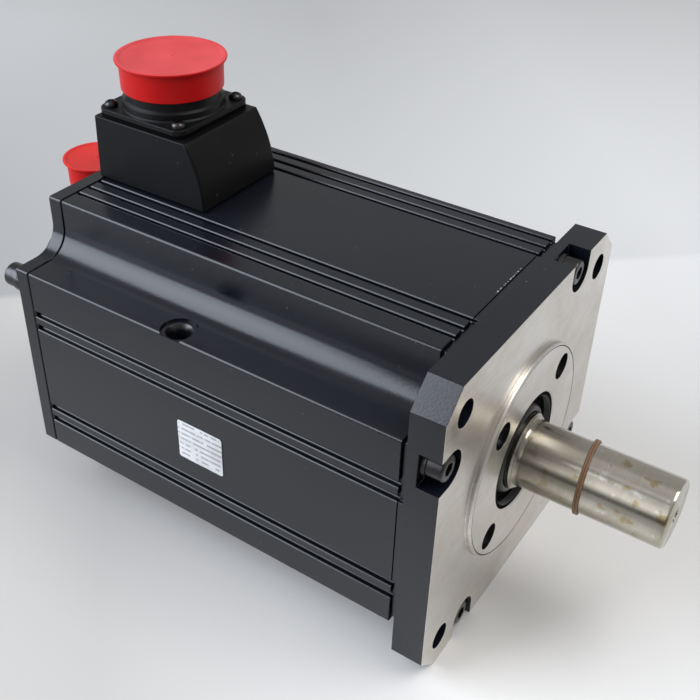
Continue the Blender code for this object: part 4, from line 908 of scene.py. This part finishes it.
def cap_mesh(rim_height, bore_r, skirt_r, rim_r, height, rim_thick):
    """A push-on cap with a dished top, a rounded rim, a drafted skirt and a gate mark."""
    ceiling = rim_height + GAP
    dish = 0.0006
    top = ceiling + rim_thick + dish
    bottom = top - height
    flat = rim_r - 2.2 * rim_thick
    gate = [(0, top - 0.0002), (0.0006, top - 0.0002), (0.0010, top - dish)]
    dished = [(flat, top - dish), (flat + 0.0006, top - 0.0005), (flat + 0.0012, top - 0.0001)]
    rim = [(rim_r - inward * rim_thick, top - down * rim_thick)
           for inward, down in ((0.45, 0), (0.12, 0.14), (0, 0.5), (0.12, 0.86), (0.4, 1))]
    skirt = [(skirt_r + 0.0005, top - 1.12 * rim_thick), (skirt_r, top - 1.4 * rim_thick),
             (skirt_r - 0.0003, bottom + 0.0003), (skirt_r - 0.0006, bottom)]
    inside = [(bore_r, bottom), (bore_r, ceiling), (0, ceiling)]
    return turned(gate + dished + rim + skirt + inside, 128)


def cap_piece(name, mesh, painted_light_top, body, node):
    """A cap whose upward faces get a paler red of their own: painted light on its top."""
    ob = piece(name, mesh, (RED, painted_light_top), body, node)
    for face in ob.data.polygons:
        if face.normal.z > 0.6:
            face.material_index = 1


def box_block(inset, low, high):
    """The box's solid, its front curved back and its sides drafted towards the top."""
    steps = 12
    middle = (BOX_LEFT + BOX_RIGHT) / 2
    rear = BOX_REAR + inset
    front = BOX_FRONT - inset
    side = [(rear, low)]
    for share in (i / steps for i in range(steps + 1)):
        side.append((front - BOX_LEAN * share ** 2, low + (high - low) * share))
    side.append((rear, high))
    mesh = prism([side], BOX_LEFT + inset, BOX_RIGHT - inset)
    mesh.transform(Matrix.Translation((0, 2 * middle, 0)) @ Matrix.Rotation(math.pi / 2, 4, "X"))
    for v in mesh.vertices:
        v.co.y -= math.copysign(BOX_DRAFT * (v.co.z - low) / (high - low), v.co.y - middle)
    return mesh


def make_terminal_box():
    """A box open below, whose front curves back towards its top."""
    solid = box_block(0, BOX_BOTTOM, BOX_TOP)
    hollow = box_block(BOX_WALL, BOX_BOTTOM - BOX_WALL, BOX_TOP - BOX_WALL)
    hole = cylinders([POWER], POWER_HOLE_R, BOX_TOP - BOX_WALL - OVERCUT, BOX_TOP + OVERCUT, 72)
    piece("connection_box", shaped(solid, ("-", hollow), ("-", hole)), BOX_BLACK, "housing",
          "terminal_box", bevel=0.0012, steps=3, angle=40, flats=True)


def pan_screw(seat):
    """A domed screw with a cross in its head."""
    dome_foot = seat + PAN_HEAD_EDGE
    top = dome_foot + PAN_HEAD_DOME
    dome = [(PAN_HEAD_R * x, dome_foot + PAN_HEAD_DOME * y) for x, y in arc(0, 0, 1, 80, 0, 8)]
    shank = [(PAN_HEAD_R, seat), (PAN_SHANK_R, seat), (PAN_SHANK_R, PAN_SHANK_END), (0, PAN_SHANK_END)]
    cuts = []
    for x, y in ((CROSS_LENGTH, CROSS_WIDTH), (CROSS_WIDTH, CROSS_LENGTH)):
        slot = rectangle(-x / 2, x / 2, -y / 2, y / 2)
        cuts.append(("-", prism([slot], seat + CROSS_FLOOR, top + OVERCUT)))
    return shaped(turned([(0, top)] + dome + shank, 32), *cuts)


def make_power():
    """The power connector: gasket, shell, screws and cap."""
    outline = rounded_rectangle(POWER_FLANGE, POWER_FLANGE, POWER_CORNER)
    foot = BOX_TOP + GAP
    gasket = prism([outline, circle(POWER_HOLE_R, 72)], foot, foot + GASKET_THICK)
    piece("socket_gasket", shifted(gasket, *POWER), RUBBER_AND_PAINTED_SHADE, "housing", "power_gasket")
    seat = POWER_BASE + POWER_THICK
    shell = shell_mesh(POWER_BASE, POWER_FLANGE, POWER_CORNER, POWER_THICK, radius=0.0257, wall=0.0025,
                       height=POWER_RIM - POWER_BASE, collar=0.0012)
    holes = cylinders(corners(PAN_OFFSET), PAN_HOLE_R, POWER_BASE - OVERCUT, seat + OVERCUT, 24)
    shell = shaped(shell, ("-", holes))
    piece("power_socket", shifted(shell, *POWER), SHELL, "housing", "power_connector_shell",
          flats=True)
    spots = [(POWER[0] + x, POWER[1] + y, 0) for x, y in corners(PAN_OFFSET)]
    make_screws("socket_screw", "connector_screw", pan_screw(seat + GAP), spots, place=UPRIGHT)
    cap = cap_mesh(POWER_RIM, bore_r=0.0260, skirt_r=0.0272, rim_r=0.0292, height=0.0160, rim_thick=0.0016)
    cap_piece("power_dust_cap", shifted(cap, *POWER), RED_TOP_DUST_AND_SHEEN, "power_cover", "power_cap")


def make_coder_connector():
    """The encoder's connector: shell and cap."""
    shell = shell_mesh(CODER_BASE, flange=0.034, corner=0.0035, thick=0.0025, radius=0.0162, wall=0.0022,
                       height=CODER_RIM - CODER_BASE, collar=0.0)
    piece("encoder_socket", shifted(shell, *CODER), SHELL, "housing",
          "encoder_connector_shell")
    cap = cap_mesh(CODER_RIM, bore_r=0.0165, skirt_r=0.0175, rim_r=0.0196, height=0.0150, rim_thick=0.0014)
    cap_piece("encoder_dust_cap", shifted(cap, *CODER), RED_FAR_PAINTED_LIGHT, "encoder_plug_cover", "encoder_cap")


def make_label():
    """A thin white plate on the left side."""
    outline = rounded_rectangle(LABEL_WIDTH, LABEL_HEIGHT, LABEL_CORNER)
    plate = prism([outline], 0, LABEL_THICK, bevel=0.0001, steps=1)
    plate.transform(Matrix.Rotation(math.pi / 2, 4, "X"))
    piece("blank_plate", shifted(plate, *LABEL_AT), LABEL, "housing", "rating_plate")


def dress_inner_nodes():
    """Looks for the CAD nodes that no piece replaces."""
    looks = {"winding": COPPER, "pin": BRASS, "board": BOARD, "insert": SHELL}
    for name, node in NODES.items():
        if node.hide_render:
            continue
        node.data.materials.clear()
        node.data.materials.append(next((look for word, look in looks.items() if word in name), PLAIN_STEEL_AND_PAINTED_LIGHT))


make_front()
make_seal()
make_shaft()
make_band()
make_frame()
make_rear()
make_encoder()
make_terminal_box()
make_power()
make_coder_connector()
make_label()
dress_inner_nodes()


# Stage: pale table, soft window light from the left, light from above on the right, the photo's camera

# Grey levels as (position, level): on the table and the wall from left to right, in the room from low to high
# The table's and the wall's grey levels and the table's warm tone are painted light and shade.
TABLE = ((0, 0.59), (0.2, 0.595), (0.36, 0.76), (0.7, 0.86), (0.9, 0.78), (1, 0.78))
WALL_LOW = ((0, 0.38), (1, 0.72))
WALL_HIGH = ((0, 0.565), (0.6, 0.50), (1, 0.60))
ROOM = ((0, 0.46), (0.85, 0.43), (0.96, 0.50), (1, 0.52))
FRONT_LEFT = ((0, 0.16), (0.14, 0.16), (0.30, 0.8), (0.42, 1.25), (0.60, 1.05), (0.74, 0.62), (0.87, 0.40),
              (0.92, 0.5), (0.945, 0.9), (0.965, 0.85), (0.98, 0.55), (1, 0.52))
FRONT_RIGHT = ((0, 0.16), (0.14, 0.18), (0.4, 0.38), (0.9, 0.42), (1, 0.52))

# The table's own axes: X across the photo, Y away from the camera
TABLE_TURN = -42.1
TABLE_SIZE = 4
TABLE_SPAN = (-0.25, 0.33)
WALL_LINE = (0.2285, 0.2365)
WALL_SPAN = (0.30, 0.85)
# Painted shade: the table dims far to the left and in front.
DIM_LEVEL = (0.22, 0.22, 0.22)
DIM_EDGES = (("X", -0.19, -0.36), ("Y", -0.165, -0.28))

# The photo's camera: degrees, metres from the middle of the mounting face, millimetres of film
CAMERA_TURN = 34.147
CAMERA_RISE = 34.811
CAMERA_ROLL = 0.787
CAMERA_PLACE = (0.1338, -0.3756, 0.3433)
CAMERA_LENS = 53.0
CAMERA_FILM = 36
CAMERA_SHIFT = (0.0421, -0.0399)


def brightness(tree, source, stops):
    """Grey levels along a value, straight between (position, level) stops."""
    node = add(tree, "ShaderNodeValToRGB")
    line = node.color_ramp
    while len(line.elements) < len(stops):
        line.elements.new(0.5)
    for element, (position, level) in zip(line.elements, stops):
        element.position = position
        element.color = (level, level, level, 1)
    tree.links.new(source, node.inputs["Fac"])
    return node.outputs["Color"]


def make_floor():
    """A pale table painted with light and shade: grey levels and a warm tone across it, dimmer far to the
    left and in front, and a wall's tone behind a soft line.
    """
    mesh = bpy.data.meshes.new("table")
    work = bmesh.new()
    bmesh.ops.create_grid(work, x_segments=1, y_segments=1, size=TABLE_SIZE)
    work.to_mesh(mesh)
    work.free()
    mat, tree, shader = start("table_grey", (0.7, 0.7, 0.7), 0.6)
    axes = separated(tree, coordinates(tree, rotation=(0, 0, math.radians(TABLE_TURN))))
    across = ramp(tree, axes["X"], 0, 1, *TABLE_SPAN)
    warm = mixed(tree, across, (1, 0.965, 0.925), (1, 1, 1))
    table = mixed(tree, 1.0, warm, brightness(tree, across, TABLE), "MULTIPLY")
    cloud = ramp(tree, noise(tree, coordinates(tree), 6, 4), 0, 0.08, 0.35, 0.7)
    table = mixed(tree, cloud, table, (0.66, 0.65, 0.64))
    for axis, near, far in DIM_EDGES:
        table = mixed(tree, ramp(tree, axes[axis], 0, 0.65, near, far), table, DIM_LEVEL)
    wall = mixed(tree, ramp(tree, axes["Y"], 0, 1, *WALL_SPAN), brightness(tree, across, WALL_LOW),
                 brightness(tree, across, WALL_HIGH))
    behind = ramp(tree, axes["Y"], 0, 1, *WALL_LINE)
    tree.links.new(mixed(tree, behind, table, wall), shader.inputs["Base Color"])
    mesh.materials.append(mat)
    loose(mesh, "table")


def area_light(name, place, target, size, radiance, tint=(1, 1, 1)):
    """A soft box of a given brightness, aimed at a target."""
    light = bpy.data.lights.new(name, "AREA")
    light.shape = "RECTANGLE"
    light.size, light.size_y = size
    light.energy = radiance * math.pi * size[0] * size[1]
    light.color = tint
    ob = loose(light, name)
    ob.location = place
    ob.rotation_euler = (Vector(target) - Vector(place)).to_track_quat("-Z", "Y").to_euler()


def make_world():
    """A plain room; its front wall, dim low down and bright higher up on the left, is for steel to mirror."""
    world = bpy.data.worlds.new("studio")
    bpy.context.scene.world = world
    world.use_nodes = True
    tree = world.node_tree
    background = tree.nodes["Background"]
    ways = separated(tree, add(tree, "ShaderNodeTexCoord").outputs["Generated"])
    front = ramp(tree, ways["Y"], 0, 1, -0.08, -0.35)
    left = ramp(tree, ways["X"], 0, 1, 0.20, -0.02)
    room, bright, dim = (brightness(tree, ways["Z"], stops) for stops in (ROOM, FRONT_LEFT, FRONT_RIGHT))
    tree.links.new(mixed(tree, front, room, mixed(tree, left, dim, bright)), background.inputs["Color"])
    background.inputs["Strength"].default_value = 1.0


def make_camera():
    """The photo's camera, with its image centre shifted as the photo's is."""
    camera = bpy.data.cameras.new("photo_camera")
    camera.sensor_width = CAMERA_FILM
    camera.lens = CAMERA_LENS
    camera.shift_x, camera.shift_y = CAMERA_SHIFT
    camera.clip_start = 0.01
    ob = loose(camera, "photo_camera")
    turn = Matrix.Rotation(math.radians(CAMERA_TURN), 4, "Z")
    tilt = Matrix.Rotation(math.radians(90 - CAMERA_RISE), 4, "X")
    roll = Matrix.Rotation(math.radians(CAMERA_ROLL), 4, "Z")
    ob.matrix_world = UPRIGHT @ Matrix.Translation(CAMERA_PLACE) @ turn @ tilt @ roll
    bpy.context.scene.camera = ob


make_floor()
area_light("window", place=(-1.17, -1.09, 1.40), target=(0, 0, 1.40), size=(1.5, 2.5), radiance=4.8,
           tint=(0.82, 0.89, 1.0))
area_light("overhead", place=(0.85, 0.28, 1.75), target=(0, 0, 0.1), size=(1.0, 1.0), radiance=4.25)
area_light("side_glint", place=(1.45, 0.47, 1.2), target=(0.1, 0, 0.1), size=(0.35, 0.35), radiance=4.0)
make_world()
make_camera()
bpy.context.scene.view_settings.view_transform = "Standard"
